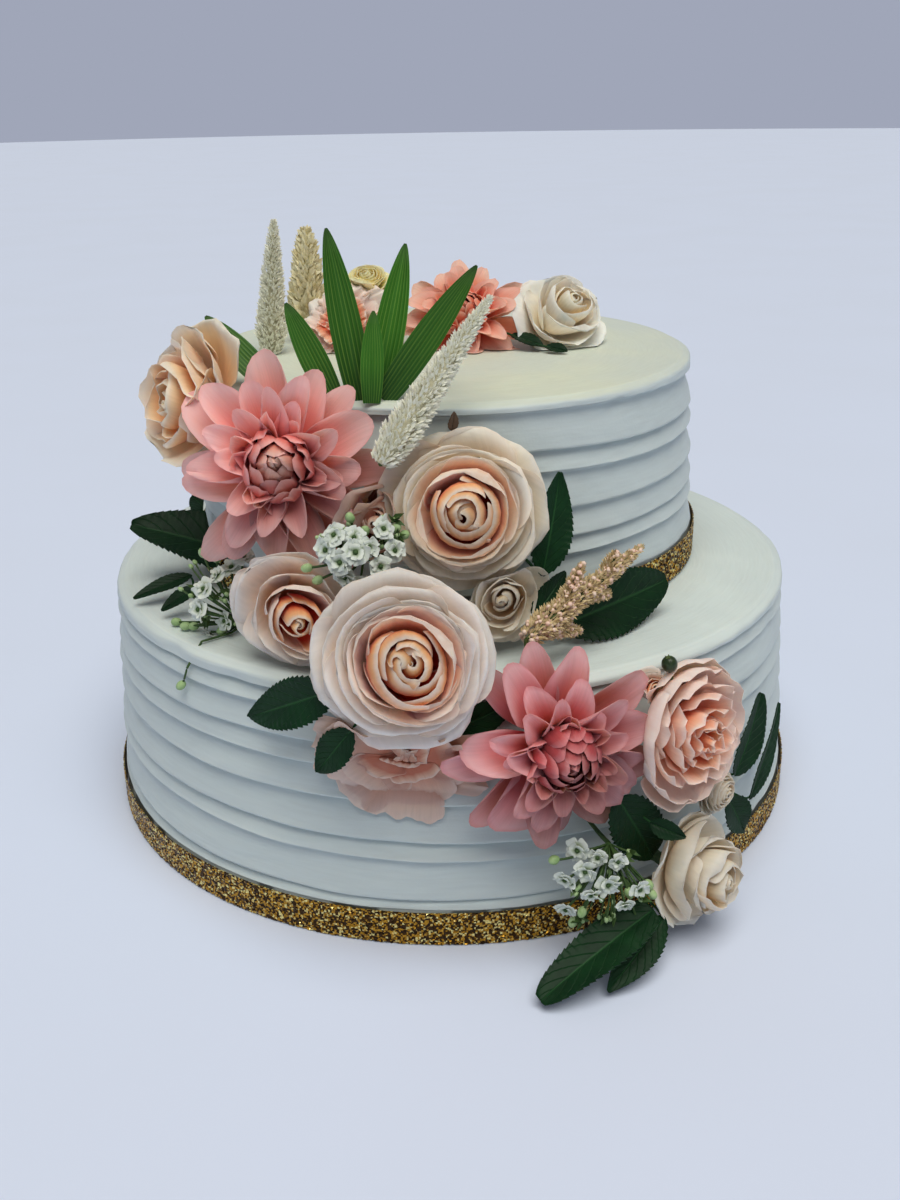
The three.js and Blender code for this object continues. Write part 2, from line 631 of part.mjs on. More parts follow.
const BLOOM_COLOURS = {
  rose_low: COLOURS.cream, rose_top: COLOURS.cream, bloom_yellow: COLOURS.yellow,
  dahlia_upper: COLOURS.pink, dahlia_lower: COLOURS.pink, dahlia_top: COLOURS.coral,
  carnation: COLOURS.blush, peony_right: COLOURS.blush,
};
const SPIKE_COLOURS = { plume: COLOURS.gold, astilbe: COLOURS.astilbe };

group.add(...TIERS.map(makeTier));
group.add(makeRibbon(BOTTOM_TIER, 'ribbon_bottom'), makeRibbon(TOP_TIER, 'ribbon_top'));
for (const bloom of BLOOMS) {
  addPiece(bloom, makeBloom(bloom), bloomPose(bloom), BLOOM_COLOURS[bloom.name] ?? COLOURS.peach);
}
for (const spike of SPIKES) {
  addPiece(spike, makeSpike(spike), stemPose(spike), SPIKE_COLOURS[spike.name] ?? COLOURS.straw);
}
for (const blade of BLADES) addPiece(blade, makeBlade(blade), stemPose(blade), COLOURS.blade);
for (const leaf of LEAVES) addPiece(leaf, makeLeaf(leaf), stemPose(leaf), COLOURS.leaf);
addPiece(BERRY, makeBerry(BERRY), stemPose(BERRY), COLOURS.berry);
for (const spray of SPRAYS) addPiece(spray, makeSpray(spray), sprayPose(spray), COLOURS.breath);

export default group;
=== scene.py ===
"""The looks of a two-tier wedding cake, built round its solids.

Combed buttercream, glitter ribbons, and a sash of cloth flowers, leaves, grasses and baby's
breath. The file is laid out as an add-on and run as a script: the sizes and colours that a
user would change are properties, and each kind of piece has an operator of its own.
"""
import math
from typing import NamedTuple

import bmesh
import bpy
import numpy as np
from bpy.props import FloatProperty, FloatVectorProperty, PointerProperty
from mathutils import Matrix, Vector
from mathutils.bvhtree import BVHTree


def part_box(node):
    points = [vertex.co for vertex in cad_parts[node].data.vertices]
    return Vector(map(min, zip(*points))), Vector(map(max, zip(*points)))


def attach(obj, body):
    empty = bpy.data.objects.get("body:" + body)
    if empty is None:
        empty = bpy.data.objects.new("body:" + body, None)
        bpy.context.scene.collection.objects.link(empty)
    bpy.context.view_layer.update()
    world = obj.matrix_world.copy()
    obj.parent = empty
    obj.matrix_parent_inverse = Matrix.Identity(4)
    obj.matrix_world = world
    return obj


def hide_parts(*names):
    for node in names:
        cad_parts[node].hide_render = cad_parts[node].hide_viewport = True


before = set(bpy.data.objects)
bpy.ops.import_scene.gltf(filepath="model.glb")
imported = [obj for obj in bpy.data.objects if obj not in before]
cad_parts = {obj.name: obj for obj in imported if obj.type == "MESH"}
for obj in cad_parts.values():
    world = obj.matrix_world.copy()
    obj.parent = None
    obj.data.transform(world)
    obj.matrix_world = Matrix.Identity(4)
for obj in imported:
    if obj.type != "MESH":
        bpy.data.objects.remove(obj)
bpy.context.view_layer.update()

bl_info = {
    "name": "Tiered wedding cake",
    "version": (1, 0, 0),
    "blender": (4, 5, 0),
    "location": "3D View > Sidebar > Cake",
    "description": "Dresses a two-tier wedding cake with icing, ribbons and cloth flowers",
    "category": "Add Mesh",
}

MM = 0.001
TURN = 2 * math.pi


def rgb(code):
    """A colour code as a screen shows it, turned into Blender's linear values."""
    shares = [value / 255 for value in bytes.fromhex(code)]
    return tuple(s / 12.92 if s <= 0.04045 else ((s + 0.055) / 1.055) ** 2.4 for s in shares)


# What is placed, and where. Sizes and places are in millimetres.

class Tier(NamedTuple):
    """Its bands are listed from the rim down, and points is how many go round it. A mark in its
    icing has a heading in degrees, a height, half a width, half a height and a depth."""

    centre: tuple
    base: float
    height: float
    rim: float
    foot: float
    points: int
    bands: tuple
    marks: tuple

    def side(self, level):
        """Its radius at a level above its base, both in metres."""
        share = np.clip(level / (self.height * MM), 0, 1)
        return (self.foot + (self.rim - self.foot) * share) * MM


TIERS = {
    "tier_bottom": Tier(
        (0, 0), 0, 124.5, 178, 186, 420, (8, 15.3, 10.5, 15.8, 17.7, 8.6, 19.1, 6.2),
        ((-46, 121, 9, 4, 1.6), (-33, 117, 7, 3, 1.2), (62, 112, 12, 2, 0.8), (-60, 64, 16, 2, 0.7),
         (150, 90, 12, 2, 0.8)),
    ),
    "tier_top": Tier(
        (-1, 13), 124.9, 106.1, 128, 134, 340, (18, 9.5, 17, 13.5, 9, 16.1),
        ((38, 99, 5, 3, 1.2), (12, 80, 14, 2, 0.7), (-120, 60, 10, 3, 0.8), (170, 92, 12, 3, 1.0)),
    ),
}


class Bloom(NamedTuple):
    """A flower. It faces heading degrees round from the front, + to the right, and pitch degrees
    up, and is turned by spin. lean shifts its heart, in radii, to world x, y and z. The value after
    lean paints shade on petals that point down or to the right and a little painted light on those
    that point up or to the left, the other way round if it is below 0. stretch is how far a petal
    may be pushed aside, and under is how far up a petal may still point where another bloom lies on top."""

    kind: str
    look: str
    at: tuple
    turned: tuple
    radius: float
    lean: tuple = (0, 0, 0)
    painted_shade: float = 0
    stretch: float = 6.5
    under: float = 1


BLOOMS = {
    "rose_front": Bloom("rose", "peach", (-22, -205, 145.5), (-4, 12, 20), 39, (0.2, 0, 0.2), -2.5),
    "rose_upper": Bloom("rose", "sand", (7, -150, 194), (2, 14, 50), 36.5, painted_shade=4),
    "dahlia_upper": Bloom("dahlia", "pink", (-79, -140, 208), (-14, 10, 23), 50, (0.24, 0, 0.15), 6),
    "dahlia_lower": Bloom("dahlia", "rosewood", (46, -206, 106), (12, 6, 30), 45, (0.04, 0, -0.04), 9),
    "peony_right": Bloom("peony", "apricot", (106, -179, 101), (40, 5, 0), 33),
    "rose_left": Bloom("ruffled", "honey", (-123.5, -82.5, 226), (-54, 10, 40), 38),
    "rose_low": Bloom("folded", "cream", (109, -184, 35), (48, 4, 10), 27, (0.3, 0, -0.15)),
    "carnation": Bloom(
        "carnation", "blush", (-22, -201, 91), (-6, -24, 5), 36.5, (0.1, 0.42, 0.6), stretch=12, under=0.3,
    ),
    "ranunculus": Bloom("folded", "peach", (-73, -158, 151), (-14, 0, 60), 28, (0.42, -0.1, 0)),
    "rose_tucked": Bloom("folded", "cream", (29, -148, 150), (24, 0, 0), 21, (-0.45, 0, 0.2)),
    "bloom_between": Bloom("folded", "blush", (-31, -136, 187), (-2, 5, 0), 24, stretch=14),
    "bloom_right": Bloom("cupped", "peach", (86, -176, 121), (24, 30, 0), 11),
    "bloom_low": Bloom("cupped", "cream", (122, -158, 60), (45, 0, 0), 13),
    "dahlia_top": Bloom("dahlia", "coral", (10, 8, 252), (-6, 42, 14), 36),
    "rose_top": Bloom("folded", "ivory", (60, 12, 249), (24, 48, 30), 26, (0.25, 0, 0.1)),
    "peony_top": Bloom("carnation", "shell", (-54, 8, 248.5), (-16, 40, 0), 24, (0, -0.2, -0.15)),
    "bloom_yellow": Bloom("cupped", "yellow", (-42, 34, 264), (-10, 60, 0), 14),
}
WIRED = ("rose_front", "rose_low", "bloom_low", "spike_front", "astilbe", "breath_centre", "breath_low")

# Foot, tip, the radius near both, how flat, the number of bracts, and their length, width and spread.
GRASSES = {
    "spike_front": ((-28, -146, 214), (19, -116, 277), (9, 2.6), 1, 1800, 1.15, 0.46, 0.7),
    "spike_left": ((-91, 2, 231), (-86, 8, 297), (9, 2.6), 1, 1800, 1.15, 0.46, 0.7),
    "plume": ((-74, 32, 231), (-73, 36, 289), (12, 5), 0.5, 700, 2, 0.6, 0.55),
}
ASTILBE = ((32, -166, 142), (87, -120, 166), (7.5, 2.6))
# The astilbe's side branches: where each starts, as a share of the stem, and its length.
ASTILBE_BRANCHES = ((0.12, 26), (0.3, 22), (0.5, 16), (0.68, 11))
ASTILBE_LEAN = (38, 9)  # how far they lean aside and forward, in degrees

# Leaves and blades: foot, tip, width, and the way the upper face looks. A blunt leaf has a
# fifth value, below POINTED.
POINTED = 0.8
BLADES = {
    "blade_tall": ((-38, -104, 231), (-51, -88, 303), 15, (0.1, -1, 0.1)),
    "blade_right": ((-28, -104, 231), (14, -94, 287), 14, (0, -1, 0.3)),
    "blade_middle": ((-31, -98, 231), (-17, -80, 295), 15, (-0.2, -1, 0.1)),
    "blade_left": ((-50, -102, 231), (-70, -92, 272), 13, (0.3, -1, 0)),
    "blade_short": ((-33, -110, 231), (-31, -104, 270), 11, (0.4, -1, 0)),
    "blade_side": ((-82, -75, 232.5), (-112, -58, 261), 14, (0.2, -1, 0.6)),
}
LEAVES = {
    "leaf_left": ((-98, -44, 134), (-162, -44, 154), 38, (0.1, -0.5, 1), 0.7),
    "leaf_left_back": ((-118, -18, 142), (-141, 8, 152), 20, (0.3, -0.6, 1)),
    "leaf_left_slim": ((-128, -70, 136), (-155, -82, 129), 10, (0.2, -0.4, 1)),
    "leaf_left_short": ((-122, -92, 138), (-138, -98, 129), 9, (0.1, -0.5, 1)),
    "leaf_front": ((-46, -192, 133), (-88, -166, 107), 22, (-0.3, -1, 0.4)),
    "leaf_front_low": ((-41, -197, 117), (-57, -190, 93), 16, (-0.6, -1, 0)),
    "leaf_upright": ((41, -134, 158), (49, -122, 202), 20, (0.3, -1, 0.1)),
    "leaf_shelf": ((50, -134, 134), (103, -96, 140), 30, (0.5, -1, 0.5), 0.55),
    "leaf_tucked": ((36, -142, 140), (52, -124, 156), 14, (0.4, -1, 0.2)),
    "leaf_between": ((-6, -184, 106), (27, -182, 121), 17, (0.1, -1, 0.1)),
    "leaf_round": ((70, -190, 78), (88, -180, 42), 25, (0.3, -1, 0.1), 0.55),
    "leaf_low_front": ((86, -199, 27), (35, -230, 5), 23, (-0.3, -0.6, 1), 0.42),
    "leaf_low_back": ((92, -195, 20), (64, -224, 4), 17, (0.4, -0.7, 1)),
    "leaf_right": ((132, -140, 58), (146, -122, 92), 20, (0.8, -1, 0), 0.6),
    "leaf_right_slim": ((142, -132, 40), (163, -94, 72), 14, (0.9, -0.6, 0.2)),
    "leaf_right_low": ((128, -146, 50), (139, -138, 26), 17, (0.6, -1, 0.2)),
    "leaf_round_tip": ((84, -191, 66), (99, -195, 61), 9, (0.1, -1, 0.3)),
    "leaf_top": ((34, 6, 238), (50, -6, 234), 10, (0.2, -0.6, 1)),
    "leaf_top_low": ((51, -6, 234), (62, -12, 232.5), 8, (0, -0.5, 1)),
    "sepal_tip": ((2, -128, 223), (3, -131, 232), 5, (0.4, -1, 0)),
}
UNROOTED = (
    "leaf_left", "leaf_left_back", "leaf_front_low", "leaf_shelf", "leaf_tucked", "leaf_top", "leaf_top_low",
)
BERRY = ((93, -176, 126), (91, -178, 135), 3.6)


class Spray(NamedTuple):
    """A spray of baby's breath: its middle, its half sizes across, deep and high, the way it
    faces, and where its stems start. Florets are (across, up, radius) in its own frame, and
    buds and the start (across, up)."""

    at: tuple
    half: tuple
    face: tuple
    root: tuple
    florets: tuple
    buds: tuple


SPRAYS = {
    "breath_centre": Spray(
        (-38, -160, 181), (20, 13, 16), (0, -1, 0.2), (2, -4),
        ((-12.3, 1.9, 5.2), (-0.6, 6.9, 5), (0.1, 1.3, 5.4), (11, 9.8, 5), (9.6, -5, 5.4), (0.9, -13.3, 5),
         (-6.6, -2.8, 5.2), (5.4, 3.2, 4.8), (-4.9, -9.4, 5), (15.4, 0.8, 4.8), (-8.9, 8, 4.8)),
        ((-2.6, 14.2), (3.6, 9.1), (16.1, 9.3), (19.3, 6.2), (-21.5, -7), (-17.1, -12.2)),
    ),
    "breath_left": Spray(
        (-111, -110, 143), (17, 17, 15), (-0.5, -1, 0.3), (15, -12),
        ((10.7, 13, 5.6), (6.5, 3.9, 5.4), (5, -5.6, 5.4), (2.5, -23.2, 5.2), (10.5, -11.6, 5.2),
         (16.8, 19.1, 5.4), (8.9, 10.2, 4.8), (16.3, 3.8, 5.4)),
        ((-6.1, 17.6), (1.4, 16.4), (-18, -20), (-11, -29), (3, -38), (-7.2, -23.5), (7.8, -18)),
    ),
    "breath_low": Spray(
        (64, -201, 42), (20, 12, 18), (0.2, -1, 0.1), (4, 16),
        ((-11.6, 18, 5.2), (-10.5, 11.4, 5.2), (-18.1, 6.6, 4.8), (-1.8, 6.2, 5.4), (3.8, 13.8, 4.6),
         (-17.5, -8.5, 5), (12.6, 1.1, 5), (-4.3, 15.8, 4.6), (-9.4, 2.7, 4.8), (5.9, -5.1, 4.6)),
        ((-22.1, 14.9), (-11.4, -8.9), (-14, -16.1), (8.9, -1.9), (21.7, -8), (15.9, -23.8), (20, -3)),
    ),
}


# What can be set.

def length(name, description, default, top):
    """A size that the sidebar shows as a distance. default and top are in millimetres."""
    return FloatProperty(
        name=name, description=description, default=default * MM, min=0, max=top * MM, unit="LENGTH",
        subtype="DISTANCE",
    )


def colour(name, description, code):
    """A colour property, its default given as a screen shows it."""
    return FloatVectorProperty(
        name=name, description=description, default=rgb(code), min=0, max=1, size=3, subtype="COLOR",
    )


class IcingSettings(bpy.types.PropertyGroup):
    """The buttercream on both tiers."""

    comb_depth: length("Comb depth", "How far a band leans in below the lip above it", 3.3, 10)
    lip: length("Plain rim", "Height of the plain band at the top of each tier", 5.6, 30)
    unevenness: length("Unevenness", "How far the smoothed icing wanders", 0.45, 3)
    # The top and shelf colours are lighter than the icing colour of the sides: painted top light on upward
    # faces, painted shade on the sides.
    icing: colour("Icing", "Buttercream", "c5d0cf")
    top: colour("Top icing", "Buttercream on the very top", "d7ddc7")
    shelf: colour("Shelf icing", "Buttercream on top of the lower tier", "d5e0dc")


class RibbonSettings(bpy.types.PropertyGroup):
    """The glitter ribbons."""

    width: length("Width", "Height of the ribbon round a tier's foot", 17, 50)
    flake: length("Flake", "Size of one glitter flake", 0.85, 4)
    tilt: length("Flake tilt", "How far a flake's corners stand in or out", 0.65, 2)
    # The shadowed and bright flake colours are painted shade and painted glints, given to flakes at random
    # rather than by the way they face.
    shadow: colour("Shadowed flake", "Flakes that face away", "422a08")
    gold: colour("Gold flake", "Most flakes", "ca962c")
    bright: colour("Bright flake", "Flakes that catch the light", "fff0a0")


class FlowerSettings(bpy.types.PropertyGroup):
    """The cloth flowers."""

    petal_thickness: length("Petal thickness", "Thickness of one petal", 0.4, 2)
    ruffle: FloatProperty(
        name="Ruffle", description="How strongly the petals' rims are ruffled", default=1, min=0, max=3,
        subtype="FACTOR",
    )
    calyx: colour("Calyx", "The green cup and wire behind a bloom", "3e5830")


class GreenSettings(bpy.types.PropertyGroup):
    """Leaves and palm blades."""

    thickness: length("Leaf thickness", "Thickness of a leaf", 0.5, 2)
    leaf: colour("Leaf", "Upper face of a leaf", "062610")
    vein: colour("Leaf vein", "Veins of a leaf", "2c5830")
    blade: colour("Blade", "A palm blade", "36721a")
    blade_rib: colour("Blade rib", "The pale ribs of a palm blade", "7aa442")


class GrassSettings(bpy.types.PropertyGroup):
    """Spikes, plume, astilbe and berry."""

    bract: length("Bract", "Length of one bristle of a spike", 2.8, 20)
    straw: colour("Straw", "The pale spikes", "fafcf0")
    plume: colour("Plume", "The gold plume", "faf6d6")
    astilbe: colour("Astilbe", "Bracts of the branched spray", "eedcae")
    bead: colour("Bead", "Closed buds of the branched spray", "ecc2ae")
    berry: colour("Berry", "The loose bead", "1a2a1a")


class BreathSettings(bpy.types.PropertyGroup):
    """Baby's breath."""

    bud: length("Bud", "Radius of a closed bud", 2.1, 10)
    stem: length("Stem", "Radius of a stem", 0.55, 3)
    white: colour("Petal", "Floret petals", "d4dcd0")
    eye: colour("Eye", "Middle of a floret", "4a6830")
    green: colour("Stem and bud", "Stems and closed buds", "84a668")


class StageSettings(bpy.types.PropertyGroup):
    """Floor, light and camera."""

    floor: colour("Floor", "The plain floor", "d6e0f4")
    horizon: colour("Surroundings", "What lies at eye level", "a0a6b8")
    middle: colour("Walls", "Soft light from the side", "7a7c84")
    zenith: colour("Ceiling", "Soft light from above", "989898")
    key_strength: FloatProperty(
        name="Key light", description="Strength of the broad high light", default=2.3, min=0,
    )
    lens: FloatProperty(
        name="Lens", description="Focal length in millimetres", default=37.5, min=10, max=200,
    )


# Mesh building.

NUMBERS = ("along", "across", "ring", "tone")
SHARP = math.radians(65)  # an edge that bends more than this is drawn sharp


class Heap:
    """Closed bits of mesh that become one piece, with a few named numbers for every point."""

    def __init__(self):
        self.points = []
        self.faces = []
        self.finish_of_face = []
        self.numbers = {number: [] for number in NUMBERS}
        self.count = 0

    def add(self, body, finish=0, **numbers):
        """Adds a body: its points, and its faces in groups."""
        points = np.asarray(body[0], float).reshape(-1, 3)
        self.points.append(points)
        for group in body[1]:
            self.faces.append(group + self.count)
            self.finish_of_face.append(np.full(len(group), finish))
        for number in NUMBERS:
            value = np.asarray(numbers.get(number, 0.0), float).reshape(-1)
            self.numbers[number].append(np.broadcast_to(value, (len(points),)))
        self.count += len(points)

    def add_sheet(self, grid, thickness, u, v, **numbers):
        """Adds a sheet of points. u runs from its foot to its end, and v from side to side."""
        along, across = (np.tile(np.broadcast_to(value, grid.shape[:2]).reshape(-1), 2) for value in (u, v))
        self.add(shell(grid, thickness), along=along, across=across, **numbers)

    def build(self, name, finishes, smooth=True):
        mesh = bpy.data.meshes.new(name)
        corners = [corner for group in self.faces for corner in group.tolist()]
        mesh.from_pydata(np.concatenate(self.points).tolist(), [], corners)
        for finish in finishes:
            mesh.materials.append(finish)
        mesh.polygons.foreach_set("material_index", np.concatenate(self.finish_of_face).astype(np.int32))
        mesh.polygons.foreach_set("use_smooth", np.full(len(mesh.polygons), smooth))
        for number, values in self.numbers.items():
            layer = mesh.attributes.new(number, "FLOAT", "POINT")
            layer.data.foreach_set("value", np.concatenate(values).astype(np.float32))
        mesh.update()
        if smooth:
            mesh.set_sharp_from_angle(angle=SHARP)
        return shown(name, mesh)


def shown(name, data):
    """A new object, put in the scene."""
    made = bpy.data.objects.new(name, data)
    bpy.context.scene.collection.objects.link(made)
    return made


def place(piece, node):
    """Puts a finished piece on the cake in place of its solid."""
    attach(piece, "root")
    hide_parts(node)


def place_each(make, table, slot, *shared):
    """Makes and places a piece for each row of a table."""
    for name, row in table.items():
        place(make(name, row, *shared), name)


def grid_faces(rows, columns, closed=False):
    """The quads between the points of a grid that is listed row after row."""
    row = np.arange(rows - 1)[:, None] * columns
    column = np.arange(columns if closed else columns - 1)[None]
    corner, beside = row + column, row + (column + 1) % columns
    return np.stack([corner, beside, beside + columns, corner + columns], -1).reshape(-1, 4)


def unit(way):
    """Directions, each made one long."""
    return way / (np.linalg.norm(way, axis=-1, keepdims=True) + 1e-12)


def shell(grid, thickness):
    """A sheet of points made into a closed body. thickness is one value or one for each point."""
    rows, columns, _ = grid.shape
    half = unit(np.cross(np.gradient(grid, axis=0), np.gradient(grid, axis=1))) * (thickness / 2)
    points = np.concatenate([(grid - half).reshape(-1, 3), (grid + half).reshape(-1, 3)])
    count = rows * columns
    under = grid_faces(rows, columns)
    index = np.arange(count).reshape(rows, columns)
    rim = np.concatenate([index[0, :-1], index[:-1, -1], index[-1, :0:-1], index[:0:-1, 0]])
    after = np.roll(rim, -1)
    sides = np.stack([after, rim, rim + count, after + count], -1)
    return points, [under, under[:, ::-1] + count, sides]


def turned_solid(grid):
    """A closed body from rings of points, each a row, with a point in the middle of both ends."""
    rows, columns, _ = grid.shape
    points = np.concatenate([grid.reshape(-1, 3), grid[:1].mean(1), grid[-1:].mean(1)])
    around = np.arange(columns)
    after = (around + 1) % columns
    first = rows * columns
    low = np.stack([after, around, np.full(columns, first)], -1)
    high = np.stack([around + first - columns, after + first - columns, np.full(columns, first + 1)], -1)
    return points, [grid_faces(rows, columns, closed=True), low, high]


def frames_along(path):
    """For each point of a path, two directions square to it and to each other."""
    ahead = unit(np.gradient(path, axis=0))
    hint = np.where(np.abs(ahead[:, 2:]) < 0.9, [[0, 0, 1.0]], [[1.0, 0, 0]])
    side = unit(np.cross(ahead, hint))
    return side, np.cross(ahead, side)


def circle(side, up, sides):
    """The points of a circle of radius 1 that lies across two directions."""
    angle = np.arange(sides)[:, None] * TURN / sides
    return side[..., None, :] * np.cos(angle) + up[..., None, :] * np.sin(angle)


def tube(path, radii, sides=6):
    """A round rod along a path. radii is one radius, or one for each point."""
    path = np.asarray(path, float)
    radii = np.broadcast_to(np.asarray(radii, float), (len(path),))[:, None, None]
    return turned_solid(path[:, None] + circle(*frames_along(path), sides) * radii)


def ball(centre, axis, size, radius, rows=6, sides=8):
    """A bud or bead: a round body of one size along an axis and one radius about it."""
    axis = np.asarray(axis, float) / np.linalg.norm(axis)
    turn = np.linspace(0.12, math.pi - 0.12, rows)[:, None]
    path = centre - np.cos(turn) * axis * size / 2
    side, up = frames_along(centre + np.arange(rows)[:, None] * axis)
    return turned_solid(path[:, None] + circle(side, up, sides) * (np.sin(turn) * radius)[..., None])


def seeded(name):
    """A random draw that a piece's own name settles."""
    return np.random.default_rng(int.from_bytes(name.encode(), "little") % 2**63)


def smooth_step(x):
    """Eases from 0 to 1."""
    x = np.clip(x, 0, 1)
    return x * x * (3 - 2 * x)


def wander(wavelength, draw, waves=5):
    """Settles a smooth random push that depends on where a point is."""
    ways = draw.normal(size=(waves, 3))
    ways *= TURN / (wavelength * np.linalg.norm(ways, axis=1, keepdims=True))
    phases = draw.uniform(0, TURN, waves)
    pushes = draw.normal(size=(waves, 3)) / math.sqrt(waves)
    return lambda points: np.sin(points @ ways.T + phases) @ pushes


def bezier(corners, share):
    """Points on a curve with four control points."""
    share = np.asarray(share)[..., None]
    rest = 1 - share
    a, b, c, d = np.asarray(corners, float)
    return rest**3 * a + 3 * rest**2 * share * b + 3 * rest * share**2 * c + share**3 * d


def millimetres(triple):
    """A place in millimetres, turned into metres."""
    return np.asarray(triple, float) * MM


# Where pieces may not go.

def nearest_icing(point, sink=2 * MM):
    """The spot on the icing nearest to a point, and a little way in."""
    spots = []
    for tier in TIERS.values():
        middle = millimetres((*tier.centre, 0))
        spot = point - middle
        base = tier.base * MM
        spot[2] = np.clip(point[2], base, base + tier.height * MM)
        share = min(1, tier.side(spot[2] - base) / math.hypot(spot[0], spot[1]))
        spots.append(spot * [share, share, 1] + middle)
    nearest = min(spots, key=lambda spot: np.linalg.norm(spot - point))
    return nearest + unit(nearest - point) * sink


def clear_of_tiers(points, strength=1.0, gap=0.5 * MM):
    """Moves points that lie in the icing out through the nearer of a tier's side and top."""
    for tier in TIERS.values():
        offset = points[..., :2] - millimetres(tier.centre)
        reach = np.linalg.norm(offset, axis=-1)
        height = points[..., 2] - tier.base * MM
        depth_in = tier.side(height) + gap - reach
        depth_under = tier.height * MM + gap - height
        inside = (depth_in > 0) & (depth_under > 0)
        sideways = inside & (depth_in < depth_under)
        push = np.where(sideways, depth_in, 0) * strength / np.maximum(reach, 1e-6)
        points[..., :2] += offset * push[..., None]
        points[..., 2] += np.where(inside & ~sideways, depth_under, 0) * strength
    points[..., 2] = np.maximum(points[..., 2], 0.6 * MM)
    return points


class Room:
    """The space that a solid fills: its hull."""

    def __init__(self, node):
        hull = bmesh.new()
        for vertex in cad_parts[node].data.vertices:
            hull.verts.new(vertex.co)
        bmesh.ops.convex_hull(hull, input=hull.verts)
        bmesh.ops.recalc_face_normals(hull, faces=hull.faces)
        self.tree = BVHTree.FromBMesh(hull)
        hull.free()
        self.low, self.high = (np.array(corner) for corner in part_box(node))

    def walls(self, points):
        """For each point inside, its index and the nearest spot on the hull."""
        for index in np.argwhere(((points > self.low) & (points < self.high)).all(-1)):
            index = tuple(index)
            point = Vector(points[index])
            spot, normal, _, _ = self.tree.find_nearest(point)
            if (point - spot).dot(normal) < 0:
                yield index, np.array(spot + normal * 0.3 * MM)


def clear_of(rooms, grid, strength, stretch):
    """Moves a sheet's points out of other pieces' rooms. None if it would be too crumpled."""
    crowded = 0.45 + stretch / (40 * MM)
    caught, furthest = 0, 0.0
    for room in rooms:
        for index, wall in room.walls(grid):
            way = (wall - grid[index]) * strength[index]
            furthest = max(furthest, np.linalg.norm(way))
            grid[index] += way
            caught += 1
    return None if caught > crowded * grid.shape[0] * grid.shape[1] or furthest > stretch else grid


# Finishes.

class Finish:
    """A material or a world being made. node() adds a node and sets or joins its sockets."""

    def __init__(self, name, kind="materials"):
        self.owner = getattr(bpy.data, kind).new(name)
        self.owner.use_nodes = True
        self.tree = self.owner.node_tree
        self.tree.nodes.clear()

    def node(self, kind, sockets=(), **settings):
        made = self.tree.nodes.new("ShaderNode" + kind)
        for key, value in settings.items():
            setattr(made, key, value)
        for key, value in dict(sockets).items():
            if isinstance(value, bpy.types.NodeSocket):
                self.tree.links.new(value, made.inputs[key])
            else:
                made.inputs[key].default_value = value
        return made

    def number(self, name):
        """One of the numbers that every point has."""
        return self.node("Attribute", attribute_name=name).outputs["Fac"]

    def maths(self, operation, *values, clamp=False):
        return self.node("Math", enumerate(values), operation=operation, use_clamp=clamp).outputs[0]

    def times(self, first, second):
        return self.maths("MULTIPLY", first, second)

    def scaled(self, value, *ends):
        """Turns the range between the first two ends into that between the others, or 0 to 1."""
        ends = (*ends, 0.0, 1.0)[:4]
        sockets = zip(("Value", "From Min", "From Max", "To Min", "To Max"), (value, *ends))
        return self.node("MapRange", sockets).outputs[0]

    def mix(self, share, first, second, blend="MIX"):
        """Mixes two colours, each a socket or three values."""
        first, second = (c if isinstance(c, bpy.types.NodeSocket) else (*c, 1) for c in (first, second))
        sockets = {0: share, 6: first, 7: second}
        return self.node("Mix", sockets, data_type="RGBA", blend_type=blend).outputs[2]

    def dimmed(self, body, light):
        """A colour times a number."""
        return self.mix(1.0, body, self.vector(light, light, light), "MULTIPLY")

    def ramp(self, value, *stops):
        made = self.node("ValToRGB", {"Fac": value})
        ramp = made.color_ramp
        while len(ramp.elements) < len(stops):
            ramp.elements.new(0.5)
        for element, (position, shade) in zip(ramp.elements, stops):
            element.position = position
            element.color = (*shade, 1)
        return made.outputs["Color"]

    def vector(self, *parts):
        return self.node("CombineXYZ", enumerate(parts)).outputs[0]

    def parts(self, vector):
        return self.node("SeparateXYZ", {0: vector}).outputs

    def here(self):
        return self.node("TexCoord").outputs["Object"]

    def noise(self, scale, detail=2.0, vector=None, roughness=0.5):
        sockets = {"Vector": vector or self.here(), "Scale": scale, "Detail": detail, "Roughness": roughness}
        return self.node("TexNoise", sockets).outputs["Fac"]

    def bump(self, height, distance, strength=1.0, **normal):
        sockets = {"Height": height, "Distance": distance, "Strength": strength, **normal}
        return self.node("Bump", sockets).outputs["Normal"]

    def surface(self, **sockets):
        names = {key.replace("_", " "): value for key, value in sockets.items()}
        shader = self.node("BsdfPrincipled", names)
        self.node("OutputMaterial", {"Surface": shader.outputs[0]})
        return self.owner


